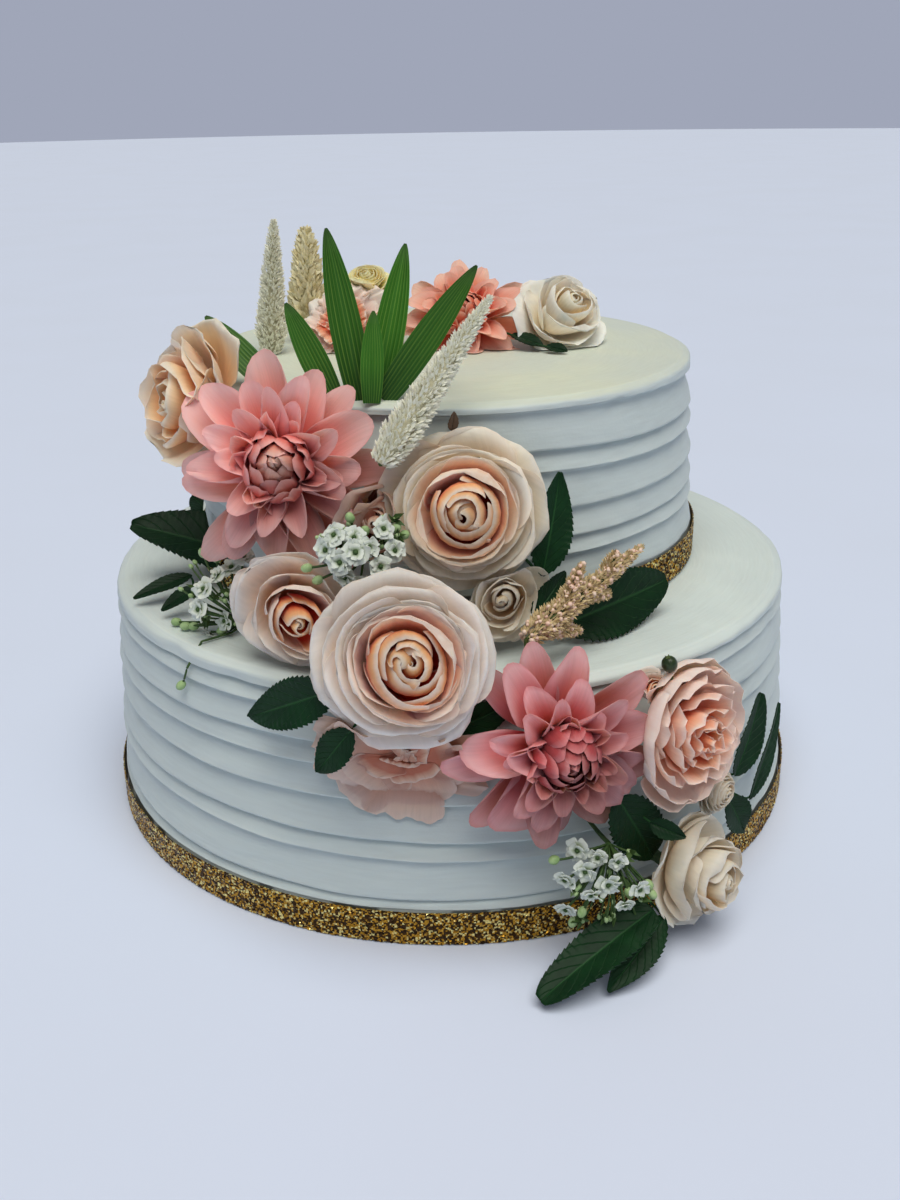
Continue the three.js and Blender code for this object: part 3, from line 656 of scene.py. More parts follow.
def icing_finish(settings, tier_name):
    """Satin buttercream with fine spatula streaks that run round the tier, its upward faces painted lighter
    than its sides as painted top light.
    """
    finish = Finish("icing_" + tier_name)
    here = finish.parts(finish.here())
    centre = millimetres(TIERS[tier_name].centre)
    away = [finish.maths("SUBTRACT", value, middle) for value, middle in zip(here, centre)]
    reach = finish.maths("SQRT", finish.maths("ADD", *(finish.times(value, value) for value in away)))
    around = [finish.maths("DIVIDE", value, reach) for value in away]
    level = finish.maths("ADD", reach, here[2])

    def streaks(lengthwise, crosswise, detail):
        turns = [finish.times(value, lengthwise) for value in around]
        return finish.noise(1.0, detail, finish.vector(*turns, finish.times(level, crosswise)))

    fine, broad, grain = streaks(9.0, 900.0, 3.0), streaks(4.0, 170.0, 2.0), finish.noise(700.0)
    # Painted light: upward faces take the lighter top or shelf colour, in patches, as painted top light,
    # while the sides keep the darker icing colour as painted shade.
    upward = finish.parts(finish.node("NewGeometry").outputs["Normal"])[2]
    top_light_patches = finish.scaled(finish.noise(14.0), 0.35, 0.7)
    share = finish.times(finish.scaled(upward, 0.55, 0.95), finish.maths("MULTIPLY_ADD", top_light_patches, 0.6, 0.4))
    body = finish.mix(share, settings.icing, settings.top if tier_name == "tier_top" else settings.shelf)
    body = finish.dimmed(body, finish.scaled(fine, 0.3, 0.7, 0.965, 1.02))
    normal = finish.bump(fine, 0.00012)
    normal = finish.bump(broad, 0.0005, 0.8, Normal=normal)
    normal = finish.bump(grain, 0.00006, Normal=normal)
    return finish.surface(
        Base_Color=body, Roughness=0.5, Normal=normal, Subsurface_Weight=0.25,
        Subsurface_Radius=(0.004, 0.0032, 0.0026), Subsurface_Scale=1.0, Specular_IOR_Level=0.4,
    )


def glitter_finish(settings):
    """Metal flakes, each with a colour of its own drawn at random: near-black and dark ones are painted
    shade, bright ones painted glints.
    """
    finish = Finish("glitter")
    body = finish.ramp(
        finish.number("tone"), (0.0, rgb("1a1208")), (0.3, settings.shadow), (0.52, settings.shadow),
        (0.6, settings.gold), (0.84, settings.gold), (0.92, settings.bright),
    )
    # Noise paints patches of shade over the flakes.
    body = finish.mix(finish.scaled(finish.noise(2600.0, 1.0), 0.4, 0.65, 0, 0.4), body, settings.shadow)
    return finish.surface(Base_Color=body, Metallic=0.75, Roughness=0.3)


# A look's colours: rim, body and foot of an outer petal, of an inner one, and of the heart.
# The deep foot colours are partly the cloth's dye and partly painted shade where the petals crowd together.
LOOKS = {
    "peach": "f2e8dc f0d8c6 e8b292  f8e0c6 ffaa70 de3a1a  fee6c4 ffb67a ec5a2c",
    "sand": "f2e4ce f2d8b6 ecb68c  fae2c4 ffac74 e2421e  fee8c8 ffb87e ec5c2e",
    "honey": "fff2da ffdeba fac08e  fff0d2 ffd4a6 f69862  ffecc6 fecc98 f2905c",
    "pink": "f2b4ae f08e88 e45c50  f4a098 ea6c64 ac2e30  fcd6b8 f8ac92 c44a40",
    "rosewood": "de9c9e ce686c ba383a  d07272 b03c40 6a141a  c8847e aa4e4e 6a1a1e",
    "coral": "fabca8 f88a70 e85a3e  fca88c f66a4c c83022  fcaa8c f66e4e c83022",
    "blush": "e4c0ae dea892 c07258  eac4ae e4a88c ba6248  eac8b0 e0ae94 ce8a70",
    "apricot": "ffe8da ffd4c0 fab092  ffe2d0 fcb89a ee744e  ffd4b8 fa9c76 e8603a",
    "shell": "fff4e4 fee6d4 f8be9e  ffe4ce fcaa88 e85a3a  fcb08e f67e58 d6462c",
    "cream": "ece2d0 e8dac4 dac0a0  eee2cc e8d4b8 d0a87e  f0e0c4 e6cca8 c89a6c",
    "ivory": "fffcf0 fff8e8 fae8c8  fffae8 fcf0d4 f2d6aa  fff4d0 fae2b2 e6be86",
    "yellow": "fcf4be faeca6 ecd27e  fcf4ba f8e89c e6c670  fcf4ba f8e89c e6c670",
}
# Where the foot's, the body's and the rim's colours lie on an outer and an inner petal and the heart.
PETAL_STOPS = ((0.22, 0.58, 0.95), (0.6, 0.88, 1.0), (0.6, 0.9, 1.0))


def petal_finish(look):
    """Cloth petals: a pale rim, a deeper foot that is partly the cloth's dye and partly painted shade, fine
    veins and a faint weave.
    """
    finish = Finish("petal_" + look)
    along, across, ring, tone = (finish.number(name) for name in NUMBERS)
    shades = [rgb(code) for code in LOOKS[look].split()]
    outer, inner, heart = (
        finish.ramp(along, *zip(stops, shades[3 * part:3 * part + 3][::-1]))
        for part, stops in enumerate(PETAL_STOPS)
    )
    petal = finish.mix(finish.scaled(ring, 0.3, 0.6), outer, inner)
    petal = finish.mix(finish.scaled(ring, 0.72, 0.95), petal, heart)
    brim = finish.maths("MAXIMUM", along, finish.maths("ABSOLUTE", across))
    petal = finish.mix(finish.scaled(brim, 0.93, 1.0, 0.0, 0.6), petal, shades[3])
    spread = finish.vector(finish.times(across, 11.0), finish.times(along, 1.6), tone)
    veins = finish.noise(1.0, 3.0, spread, 0.6)
    petal = finish.mix(finish.scaled(finish.noise(60.0), 0.5, 0.75, 0, 0.3), petal, shades[1])
    # tone lightens or darkens the whole petal: partly its own random tone, partly the painted shade or
    # painted light that its bloom sets by the way the petal points.
    petal = finish.dimmed(
        petal, finish.maths("ADD", finish.scaled(veins, 0.3, 0.7, 0.94, 1.03), finish.times(tone, 0.05)),
    )
    normal = finish.bump(veins, 0.0002, 0.6)
    normal = finish.bump(finish.noise(1900.0, 1.0), 0.00003, 0.7, Normal=normal)
    return finish.surface(
        Base_Color=petal, Roughness=0.62, Normal=normal, Specular_IOR_Level=0.3, Sheen_Weight=0.12,
        Subsurface_Weight=0.4, Subsurface_Radius=(0.005, 0.0028, 0.0018), Subsurface_Scale=1.0,
    )


def plain_finish(name, shade, other, scale, roughness=0.6):
    """Two close shades mixed by noise and by each bit's own tone, with a matching grain."""
    finish = Finish(name)
    grain = finish.noise(scale, 3.0)
    share = finish.maths("ADD", finish.scaled(grain, 0.3, 0.7, 0, 0.6), finish.number("tone"), clamp=True)
    return finish.surface(
        Base_Color=finish.mix(share, shade, rgb(other)), Roughness=roughness,
        Normal=finish.bump(grain, 0.0002), Specular_IOR_Level=0.35,
    )


def leaf_finish(settings):
    """A dark leaf with a pale midrib and finer side veins that run towards the tip."""
    finish = Finish("leaf")
    along, across, _, tone = (finish.number(name) for name in NUMBERS)
    off = finish.maths("ABSOLUTE", across)
    count = finish.maths("MULTIPLY_ADD", along, 8.0, finish.times(off, -2.2))
    between = finish.maths("ABSOLUTE", finish.maths("SUBTRACT", finish.maths("FRACT", count), 0.5))
    side_vein, midrib = finish.scaled(between, 0.43, 0.5), finish.scaled(off, 0.07, 0.0)
    cloud = finish.scaled(finish.noise(120.0, 3.0), 0.35, 0.7, 0, 0.5)
    green = finish.mix(cloud, settings.leaf, rgb("0e3818"))
    green = finish.mix(finish.times(side_vein, 0.3), green, settings.vein)
    green = finish.mix(finish.times(midrib, 0.6), green, settings.vein)
    green = finish.dimmed(green, finish.maths("MULTIPLY_ADD", tone, 0.25, 1.0))
    fine = finish.times(finish.noise(900.0), 0.3)
    relief = finish.maths("SUBTRACT", fine, finish.maths("MAXIMUM", side_vein, midrib))
    return finish.surface(
        Base_Color=green, Roughness=0.5, Normal=finish.bump(relief, 0.00025), Specular_IOR_Level=0.16,
    )


def blade_finish(settings):
    """A palm blade with pale parallel ribs, darker towards its foot."""
    finish = Finish("blade")
    along, across, _, tone = (finish.number(name) for name in NUMBERS)
    stripes = finish.maths("COSINE", finish.times(across, 8 * math.pi))
    broken = finish.vector(finish.times(across, 9.0), finish.times(along, 0.5), tone)
    broken = finish.scaled(finish.noise(3.0, 3.0, broken), 0.35, 0.65, 0.05, 0.7)
    green = finish.mix(finish.scaled(along, 0.0, 0.45, 0.65, 0.0), settings.blade, rgb("0c3214"))
    green = finish.mix(finish.times(finish.scaled(stripes, 0.1, 1.0), broken), green, settings.blade_rib)
    green = finish.mix(finish.scaled(along, 0.85, 1.0, 0.0, 0.35), green, rgb("6e965a"))
    green = finish.dimmed(green, finish.maths("MULTIPLY_ADD", tone, 0.3, 1.0))
    return finish.surface(
        Base_Color=green, Roughness=0.48, Normal=finish.bump(stripes, 0.0002), Specular_IOR_Level=0.3,
    )


def breath_finish(settings):
    """White floret petals that turn green towards the eye."""
    finish = Finish("breath_petal")
    stops = (0.14, settings.eye), (0.36, rgb("acba9c")), (0.62, settings.white)
    return finish.surface(
        Base_Color=finish.ramp(finish.number("along"), *stops), Roughness=0.65,
        Normal=finish.bump(finish.noise(1500.0), 0.0001), Subsurface_Weight=0.2,
        Subsurface_Radius=(0.002, 0.002, 0.0015), Subsurface_Scale=1.0,
    )


# Tiers and ribbons.

# Rows of points up one combed band: the share of its height, and how far in it lies there.
BAND_ROWS = (
    (0.0, 0.05), (0.03, -0.05), (0.07, -0.03), (0.13, 0.05), (0.22, 0.13), (0.34, 0.25), (0.47, 0.4),
    (0.6, 0.57), (0.72, 0.74), (0.82, 0.88), (0.89, 0.98), (0.94, 1.0), (0.975, 0.7),
)
RIM_ROWS = ((0.0, 0.0), (0.25, 0.35), (0.6, 0.6), (0.85, 0.82), (1.0, 1.0))
RIM_INSET, RIM_DROP = 3.8 * MM, 2.4 * MM
DRIFT, DRIFT_WAVES, DRIFT_TWIST = 1.1 * MM, 2, 50.0
RIBBON_DEPTH = 0.8 * MM


def band_edge(lower, turn, draw):
    """The height of a band's lower lip all the way round."""
    drift = DRIFT * np.sin(DRIFT_WAVES * turn + lower * DRIFT_TWIST)
    for waves in (3, 5, 9):
        drift = drift + draw.normal() * 0.4 * MM * np.sin(waves * turn + draw.uniform(0, TURN)) / waves**0.5
    return lower + drift


def tier_rows(tier, settings, turn, draw):
    """A tier's rings of points, from the middle of its base up its side to the middle of its top."""
    height, rim = tier.height * MM, tier.rim * MM
    plain = np.zeros_like(turn)
    rows = []

    def lay(reach, level):
        rows.append(np.stack([reach + plain, level + plain]))

    for share in (0.02, 0.5, 0.97):
        lay(tier.foot * MM * share, 0)
    lower = height - settings.lip - sum(tier.bands) * MM
    for level in np.linspace(0, lower, 4)[:-1]:
        lay(tier.side(level) - 0.2 * MM, level)
    edge = lower + plain
    for band in tier.bands[::-1]:
        lower += band * MM
        following = band_edge(lower, turn, draw)
        swell = 0.16 * np.sin(3 * turn + draw.uniform(0, TURN))
        depth = settings.comb_depth * (1 + swell + draw.normal() * 0.06)
        for share, inset in BAND_ROWS:
            level = edge + (following - edge) * share
            lay(tier.side(level) - depth * inset, level)
        edge = following
    wobble = 0.35 * MM * np.sin(4 * turn + 1) + 0.25 * MM * np.sin(11 * turn + 2)
    top = height - RIM_DROP
    for share in (0.0, 0.35, 0.7):
        level = edge + (top - edge) * share
        lay(tier.side(level) + 0.1 * MM, level)
    for inward, upward in RIM_ROWS:
        lay(rim - RIM_INSET * inward + wobble * (1 - inward), top + RIM_DROP * upward)
    for share in np.linspace(0.985, 0.02, 26):
        lay((rim - RIM_INSET) * share, height)
    return np.stack(rows)


def tier_piece(name, tier, settings):
    """One tier: its base, its combed side and its smoothed top."""
    draw = seeded(name)
    turn = np.arange(tier.points) * -TURN / tier.points
    rows = tier_rows(tier, settings, turn, draw)
    reach, level = rows[:, 0], rows[:, 1]
    outward = np.stack([np.cos(-turn), np.sin(-turn), 0 * turn], -1)
    grid = reach[..., None] * outward + level[..., None] * [0, 0, 1]
    on_top = smooth_step((level - tier.height * MM + RIM_DROP) / RIM_DROP)
    slope = smooth_step(level / (20 * MM)) * (1 - on_top)
    push = wander(55 * MM, draw, 7)(grid * [1, 1, 2.5])[..., 0]
    ripple = wander(16 * MM, draw, 6)(grid * [1, 1, 6])[..., 1]
    grid += outward * ((push * 0.7 + ripple * 0.25) * settings.unevenness * slope)[..., None]
    swirl = np.sin(reach * 260 + 2.2 * np.sin(turn * 2) + draw.uniform(0, TURN)) * 0.35 + ripple * 0.3
    inner = 1 - smooth_step((reach / (tier.rim * MM) - 0.9) / 0.08) * 0.5
    grid[..., 2] -= on_top * inner * (0.5 + 0.5 * np.clip(swirl, -1, 1)) * 0.9 * settings.unevenness
    for heading, mark_level, half_width, half_height, depth in tier.marks:
        away = np.angle(np.exp(1j * (-turn - math.radians(heading - 90)))) * tier.rim
        near = np.exp(-((away / half_width) ** 2) - ((level / MM - mark_level) / half_height) ** 2)
        grid -= outward * (near * depth * MM * (1 - on_top))[..., None]
    heap = Heap()
    heap.add(turned_solid(grid + millimetres((*tier.centre, tier.base))))
    return heap.build("icing_" + name, [icing_finish(settings, name)])


def ribbon_piece(node, settings, finish):
    """A glitter ribbon: a band of small flakes, each tilted its own way, with ragged edges."""
    draw = seeded(node)
    low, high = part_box(node)
    outer = (high.x - low.x) / 2
    count = int(TURN * outer / settings.flake)
    rows = int(settings.width / settings.flake) + 2
    turn = np.arange(count) * TURN / count
    level = np.linspace(low.z, high.z, rows)[:, None] + np.zeros(count)
    level[1:-1] += draw.uniform(-0.35, 0.35, (rows - 2, count)) * settings.flake
    level[0] += draw.uniform(0, 0.3, count) * settings.flake
    level[-1] -= draw.uniform(0, 0.3, count) * settings.flake
    angle = turn + draw.uniform(-0.35, 0.35, (rows, count)) * TURN / count
    reach = outer - settings.tilt * (0.5 + draw.uniform(-0.5, 0.5, (rows, count)))
    front = np.stack([reach * np.cos(angle), reach * np.sin(angle), level], -1)
    back = front[[-1, 0]]
    back[..., :2] = np.stack([np.cos(turn), np.sin(turn)], -1) * (outer - RIBBON_DEPTH)
    grid = np.concatenate([front, back, front[:1]])
    grid[..., :2] += [(low.x + high.x) / 2, (low.y + high.y) / 2]
    flakes = grid_faces(len(grid), count, closed=True)
    # Every flake has corners of its own, so that its tone, which picks its painted shade, gold or painted
    # glint, is its own too.
    tone = np.repeat(draw.uniform(0, 1, len(flakes)), 4)
    heap = Heap()
    heap.add((grid.reshape(-1, 3)[flakes], [np.arange(len(flakes) * 4).reshape(-1, 4)]), tone=tone)
    return heap.build("glitter_" + node, [finish], smooth=False)


# Petals.

class Ring(NamedTuple):
    """A ring of petals. The midline's four control points are (distance from the axis, height)
    and half is a petal's half width, all in flower radii. notch is how much shorter a petal is
    at its sides and blunt how square its end. round is how far it lies round the bloom's axis;
    the rest of it is bent across to wrap times its distance from the axis, plus flat. One side
    tucks in by skew. The rim rolls back by roll and is ruffled in waves, fine pleats run along
    it, and vary is how much petals differ."""

    petals: int
    half: float
    line: np.ndarray
    notch: float = 0.3
    blunt: float = 2.6
    round: float = 0.0
    wrap: float = 1.0
    flat: float = 0.12
    skew: float = 0.035
    roll: float = 0.03
    ruffle: float = 0.012
    waves: int = 2
    crease: float = 0.0
    pleat: float = 0.0
    pleats: int = 20
    vary: float = 0.4


def rings(common, *rows):
    """Rings that share some settings. A row has the number of petals, the half width and the
    midline in hundredths of the flower's radius, and settings of its own."""
    return [
        Ring(petals, half / 100, np.reshape(line, (4, 2)) / 100, **{**common, **dict(*own)})
        for petals, half, line, *own in rows
    ]


class Kind(NamedTuple):
    """A kind of flower: its rings from the outermost in, the radius of its rolled heart, whether
    its petals follow one spiral, and the rows and columns of a petal where its size doesn't say."""

    rings: list
    heart: float = 0.0
    spiral: bool = False
    rows: int = 0
    columns: int = 0


BROAD = dict(notch=0.3, blunt=2.6, crease=0.0)
KINDS = {
    "rose": Kind(rings(
        dict(round=0.96, notch=0.26, blunt=2.3, skew=0.0, roll=0.045, ruffle=0.024, vary=0.8),
        (5, 96, (6, 0, 60, -6, 88, 26, 102, 13), dict(ruffle=0.04)),
        (4, 98, (6, 2, 58, 0, 77, 52, 88, 36), dict(ruffle=0.03)),
        (3, 88, (6, 4, 50, 6, 64, 68, 74, 54)),
        (3, 82, (6, 6, 42, 10, 54, 76, 61.5, 67)),
        (2, 74, (6, 8, 38, 16, 46, 78, 50, 74.5), dict(notch=0.2)),
        (2, 60, (5, 10, 42, 30, 50, 74, 34.5, 76.5), dict(notch=0.14, roll=0.012, vary=0.5)),
        (2, 50, (5, 12, 36, 34, 42, 76, 24, 80), dict(notch=0.12, roll=0.01, vary=0.4)),
        (2, 36, (4, 14, 27, 40, 31, 79, 14, 82.5), dict(notch=0.12, roll=0.008, vary=0.3)),
        (2, 20, (3, 16, 17, 44, 20, 81, 4.5, 83.5), dict(notch=0.1, roll=0.005, ruffle=0.0)),
    ), 0.03, True),
    "cupped": Kind(rings(
        dict(round=0.95, notch=0.22, skew=0.0, ruffle=0.025, roll=0.035, vary=0.5),
        (5, 92, (8, 0, 66, -6, 92, 30, 100, 20), dict(ruffle=0.04)),
        (4, 84, (8, 3, 62, 0, 80, 50, 84, 46)),
        (4, 74, (7, 5, 52, 8, 66, 60, 68, 62)),
        (3, 64, (6, 8, 40, 14, 54, 66, 52, 71)),
        (3, 50, (5, 10, 30, 20, 46, 66, 36, 76)),
        (3, 40, (5, 12, 20, 28, 36, 68, 22, 79)),
        (2, 22, (3, 14, 10, 40, 22, 74, 8, 82)),
    ), 0.05, True),
    "ruffled": Kind(rings(
        dict(round=0.8, notch=0.26, blunt=2.4, skew=0.0, ruffle=0.06, roll=0.025, pleat=0.02, pleats=7,
             vary=0.8),
        (5, 86, (8, 0, 70, -6, 93, 32, 100, 22)),
        (4, 80, (8, 3, 60, 2, 80, 50, 86, 46)),
        (3, 68, (8, 5, 48, 10, 64, 64, 68, 64)),
        (3, 56, (7, 8, 40, 20, 50, 70, 44, 74)),
        (2, 40, (5, 12, 28, 30, 38, 74, 24, 79), dict(ruffle=0.03)),
        (2, 22, (4, 14, 14, 38, 22, 76, 8, 82), dict(ruffle=0.01)),
    ), 0.04, True),
    "folded": Kind(rings(
        dict(round=0.92, notch=0.24, skew=0.0, ruffle=0.035, roll=0.04, pleat=0.008, pleats=8, vary=0.9),
        (4, 100, (8, 0, 70, -6, 94, 28, 100, 22), dict(ruffle=0.05)),
        (3, 95, (8, 3, 60, 0, 80, 50, 83, 50)),
        (3, 80, (7, 6, 44, 12, 60, 66, 60, 65)),
        (2, 62, (6, 10, 36, 26, 48, 72, 36, 75), dict(roll=0.02)),
        (2, 42, (5, 12, 24, 36, 34, 76, 18, 80), dict(roll=0.01, ruffle=0.015)),
        (2, 22, (3, 14, 12, 42, 20, 78, 6, 82), dict(roll=0.005, ruffle=0.0)),
    ), 0.05, True),
    "peony": Kind(rings(
        dict(ruffle=0.035, waves=3, roll=0.0, vary=0.8, flat=0.15, notch=0.5, blunt=1.5, crease=0.05),
        (5, 92, (10, 0, 80, -12, 103, 24, 98, 44), dict(BROAD, round=0.9, vary=0.5)),
        (5, 78, (10, 2, 70, -5, 94, 34, 88, 58), dict(BROAD, round=0.8, vary=0.5)),
        (6, 42, (8, 5, 54, 4, 80, 44, 74, 66)),
        (6, 38, (7, 8, 40, 14, 62, 50, 58, 73)),
        (6, 32, (6, 10, 28, 22, 45, 55, 41, 77)),
        (5, 26, (5, 12, 17, 30, 28, 58, 23, 79), dict(crease=0.04)),
        (3, 16, (3, 14, 8, 36, 13, 60, 8, 80), dict(BROAD, flat=0.05)),
    )),
    "carnation": Kind(rings(
        dict(notch=0.24, blunt=2.5, ruffle=0.05, waves=3, flat=0.6, roll=0.0, pleat=0.018, vary=1.0),
        (8, 52, (6, 0, 50, 4, 82, 14, 105, 6), dict(vary=0.6)),
        (7, 46, (6, 4, 44, 16, 74, 30, 97, 20)),
        (6, 40, (5, 8, 34, 26, 60, 42, 84, 34)),
        (5, 34, (5, 10, 24, 34, 42, 52, 56, 48)),
        (4, 24, (5, 12, 14, 38, 22, 58, 30, 56)),
        (4, 16, (2, 14, 5, 38, 10, 56, 3, 62), dict(ruffle=0.01)),
    ), columns=27),
    "dahlia": Kind(rings(
        dict(notch=0.55, blunt=1.9, wrap=0.2, flat=0.17, skew=0.0, roll=0.0, ruffle=0.01, crease=0.02,
             pleat=0.008, pleats=9, vary=1.3),
        (8, 20, (5, 0, 42, 8, 78, 14, 106, 6)),
        (7, 20, (5, 2, 36, 18, 66, 32, 93, 25)),
        (8, 17.5, (5, 5, 28, 28, 52, 44, 77, 42), dict(flat=0.13)),
        (10, 15, (5, 8, 22, 32, 40, 50, 60, 54), dict(flat=0.1, roll=-0.03)),
        (9, 12.5, (5, 10, 20, 28, 36, 46, 46, 61), dict(flat=0.06, roll=-0.04)),
        (9, 16, (5, 12, 30, 26, 42, 46, 25, 63), dict(flat=0.12, skew=0.02, vary=0.5)),
        (7, 18, (4, 14, 26, 30, 36, 52, 15, 69), dict(flat=0.12, skew=0.02, vary=0.4)),
        (5, 18, (3, 16, 18, 36, 26, 60, 6, 71.5), dict(flat=0.1, skew=0.015, vary=0.3)),
        (3, 14, (2, 18, 8, 40, 14, 66, 0, 72.5), dict(flat=0.06, vary=0.2)),
    ), rows=12, columns=13),
}
GOLDEN_ANGLE = math.radians(137.5)
BLOOM_DEPTH = 0.55  # how far the middle of a bloom stands above its petals' feet, in radii
STIR, STIR_LENGTH = 0.018, 0.9  # how far a bloom's petals wander together, in radii
CALYX_DEPTH, CALYX_RADIUS = 0.42, 0.15
CALYX_GIVE = 0.1  # how far the icing may push a calyx before it is left out, in radii
WIRE_RADIUS = 1.1 * MM
CALYX_ROWS = ((0.02, -1), (0.55, -0.98), (0.62, -0.7), (0.95, -0.35), (1.15, -0.05), (0.9, 0.1), (0.1, 0.15))
# Painted shade: petals that point this way are darkened, and those that point the other way lightened a
# little.
DUSK_WAY = np.array([0.5, 0, -0.87])  # petals that point this way are in the shade of the rest


def petal_grid(ring, rows, columns, ruffle, draw):
    """One petal as a sheet of points over the X axis, in flower radii: its points, how far each is
    along and across, how freely it moves, and how thick it is, from its foot to its thin rim."""
    u = 1 - (1 - np.linspace(0, 1, rows)[:, None]) ** 1.35
    v = np.sin(np.linspace(-1, 1, columns)[None] * math.pi / 2)
    vary = ring.vary * np.clip(draw.normal(size=7), -2, 2)
    round_end = (1 - np.abs(v) ** ring.blunt) ** (1 / ring.blunt)
    share = u * (1 - ring.notch * (1 - round_end))
    line = np.array(ring.line)
    line[1:, 0] *= 1 + 0.035 * vary[0]
    line[2:, 1] += 0.035 * vary[1]
    line[3, 1] += 0.02 * vary[2]
    spot = bezier(line, share)
    ahead = unit(bezier(line, share + 0.01) - spot)
    breadth = ring.half * (1 + 0.07 * vary[3]) * (0.3 + 0.7 * smooth_step(share / 0.55))
    side = v * breadth
    bend = ring.wrap * np.maximum(spot[..., 0], 0.02) + ring.flat
    angle = np.clip(side / bend, -2.4, 2.4)
    edge = np.minimum((u**10 + (np.abs(v) * smooth_step(u / 0.6)) ** 10) ** 0.1, 1)
    rim = edge**5
    lift = ring.crease * np.abs(v) * breadth / ring.half
    lift += ring.skew * v * smooth_step(u / 0.5) - ring.roll * edge**3
    phase = draw.uniform(0, TURN, 4)
    frill = 0.5 * np.sin((ring.waves * 1.5 + 0.5) * math.pi * v + phase[1] + 2 * u)
    lift += ring.ruffle * ruffle * rim * (np.sin(ring.waves * math.pi * v + phase[0]) + frill)
    lift += ring.pleat * u * (1 + 0.5 * np.sin(2 * v + phase[3])) * np.sin(ring.pleats * v + phase[2])
    lift += (0.2 - 0.14 * ring.round) * vary[4] * side * u + 0.01 * np.sin(3 * v + 4 * u + phase[2]) * u
    sway = 0.05 * vary[5] * u**2 + 0.05 * vary[6] * u

    def raised(lift):
        """The distance from the axis and the height of points that stand off the midline."""
        return spot[..., 0] - ahead[..., 1] * lift, spot[..., 1] + ahead[..., 0] * lift

    outward, upward = raised(lift + bend * (1 - np.cos(angle)))
    free = np.stack([outward, bend * np.sin(angle) + sway, upward], -1)
    around = np.clip(side / np.maximum(spot[..., 0], 0.03), -2.6, 2.6)
    outward, upward = raised(lift)
    about = np.stack([outward * np.cos(around), outward * np.sin(around) + sway, upward], -1)
    grid = free + (about - free) * ring.round
    return grid, u, v, smooth_step(u / 0.4) + 0 * v, (1 - 0.65 * rim)[..., None]


def about_axis(grid, angle):
    """Turns a sheet about the Z axis."""
    turn = [[math.cos(angle), math.sin(angle), 0], [-math.sin(angle), math.cos(angle), 0], [0, 0, 1]]
    return grid @ np.array(turn)


def heart_grid(size, rows=7, columns=36):
    """The rolled heart of a rose: one sheet wound round the axis, its top edge turned out."""
    around = np.linspace(0, 1, columns)[None]
    up = np.linspace(0, 1, rows)[:, None]
    angle = around * 1.7 * TURN
    reach = size * (0.16 + 0.84 * around) * (0.95 - 0.25 * up**2) + 0.012 * up**6
    level = 0.3 + (0.79 - 0.035 * (1 - around) - 0.3) * up
    return np.stack([reach * np.cos(angle), reach * np.sin(angle), level + 0 * angle], -1)


def bloom_piece(name, bloom, settings, rooms, finishes):
    """One bloom: rings of petals, a rolled heart if it is a rose, and a green calyx behind."""
    draw = seeded(name)
    kind = KINDS[bloom.kind]
    radius = bloom.radius * MM
    heading, pitch, spin = (math.radians(angle) for angle in bloom.turned)
    facing = Matrix.Rotation(heading, 3, "Z") @ Matrix.Rotation(-pitch, 3, "X") @ Vector((0, -1, 0))
    turn = Vector((0, 0, 1)).rotation_difference(facing).to_matrix() @ Matrix.Rotation(spin, 3, "Z")
    foot = np.array(Vector(bloom.at) * MM - facing * BLOOM_DEPTH * bloom.radius * MM)
    turn = np.array(turn)
    by_size = ((9, 11), (12, 15), (15, 17))[(bloom.radius >= 20) + (bloom.radius >= 30)]
    rows, columns = kind.rows or by_size[0], kind.columns or by_size[1]
    heap = Heap()
    stir = wander(STIR_LENGTH, draw, 4)

    def settle(grid, strength):
        """Takes a sheet from flower radii to its place, clear of what is round it."""
        grid = grid + stir(grid) * STIR
        world = grid @ turn.T + smooth_step(grid[..., 2:]) * bloom.lean
        world = clear_of_tiers(world * radius + foot, strength)
        return clear_of(rooms, world, strength, bloom.stretch * MM)

    start, placed = 0.0, 0
    last = len(kind.rings) - 1
    for index, ring in enumerate(kind.rings):
        start += 0.5 + draw.uniform(-0.12, 0.12)
        inner = kind.rings[min(index + 1, last)]
        for petal in range(ring.petals):
            angle = (petal + start + draw.uniform(-0.2, 0.2)) * TURN / ring.petals
            if kind.spiral:
                # Each petal's midline comes a little nearer to the next ring's.
                share = (0.7 if index else 0.35) * petal / ring.petals
                ring = ring._replace(line=ring.line * (1 - share) + inner.line * share)
                angle = placed * GOLDEN_ANGLE + draw.uniform(-0.12, 0.12)
                placed += 1
            grid, u, v, strength, thinning = petal_grid(ring, rows, columns, settings.ruffle, draw)
            way = turn @ [math.cos(angle), math.sin(angle), 0]
            # Painted shade: a petal that points down or to the right is darkened, one that points up or to
            # the left lightened a little, by the bloom's value after lean.
            tone = draw.uniform(-1, 1) - bloom.painted_shade * max(-0.5, DUSK_WAY @ way)
            grid = settle(about_axis(grid, angle), strength)
            if grid is not None and way[2] < bloom.under:
                heap.add_sheet(grid, settings.petal_thickness * thinning, u, v, ring=index / last, tone=tone)
    if kind.heart:
        grid = heart_grid(kind.heart)
        along = np.linspace(0.7, 1, len(grid))[:, None]
        grid = settle(grid, np.ones(grid.shape[:2]))
        if grid is not None:
            heap.add_sheet(grid, settings.petal_thickness, along, 0, ring=1.0, tone=0.2)
    add_calyx(heap, turn, foot, radius)
    if name in WIRED:
        add_wire(heap, foot, 1)
    return heap.build("bloom_" + name, [finishes[bloom.look], finishes["calyx"]])


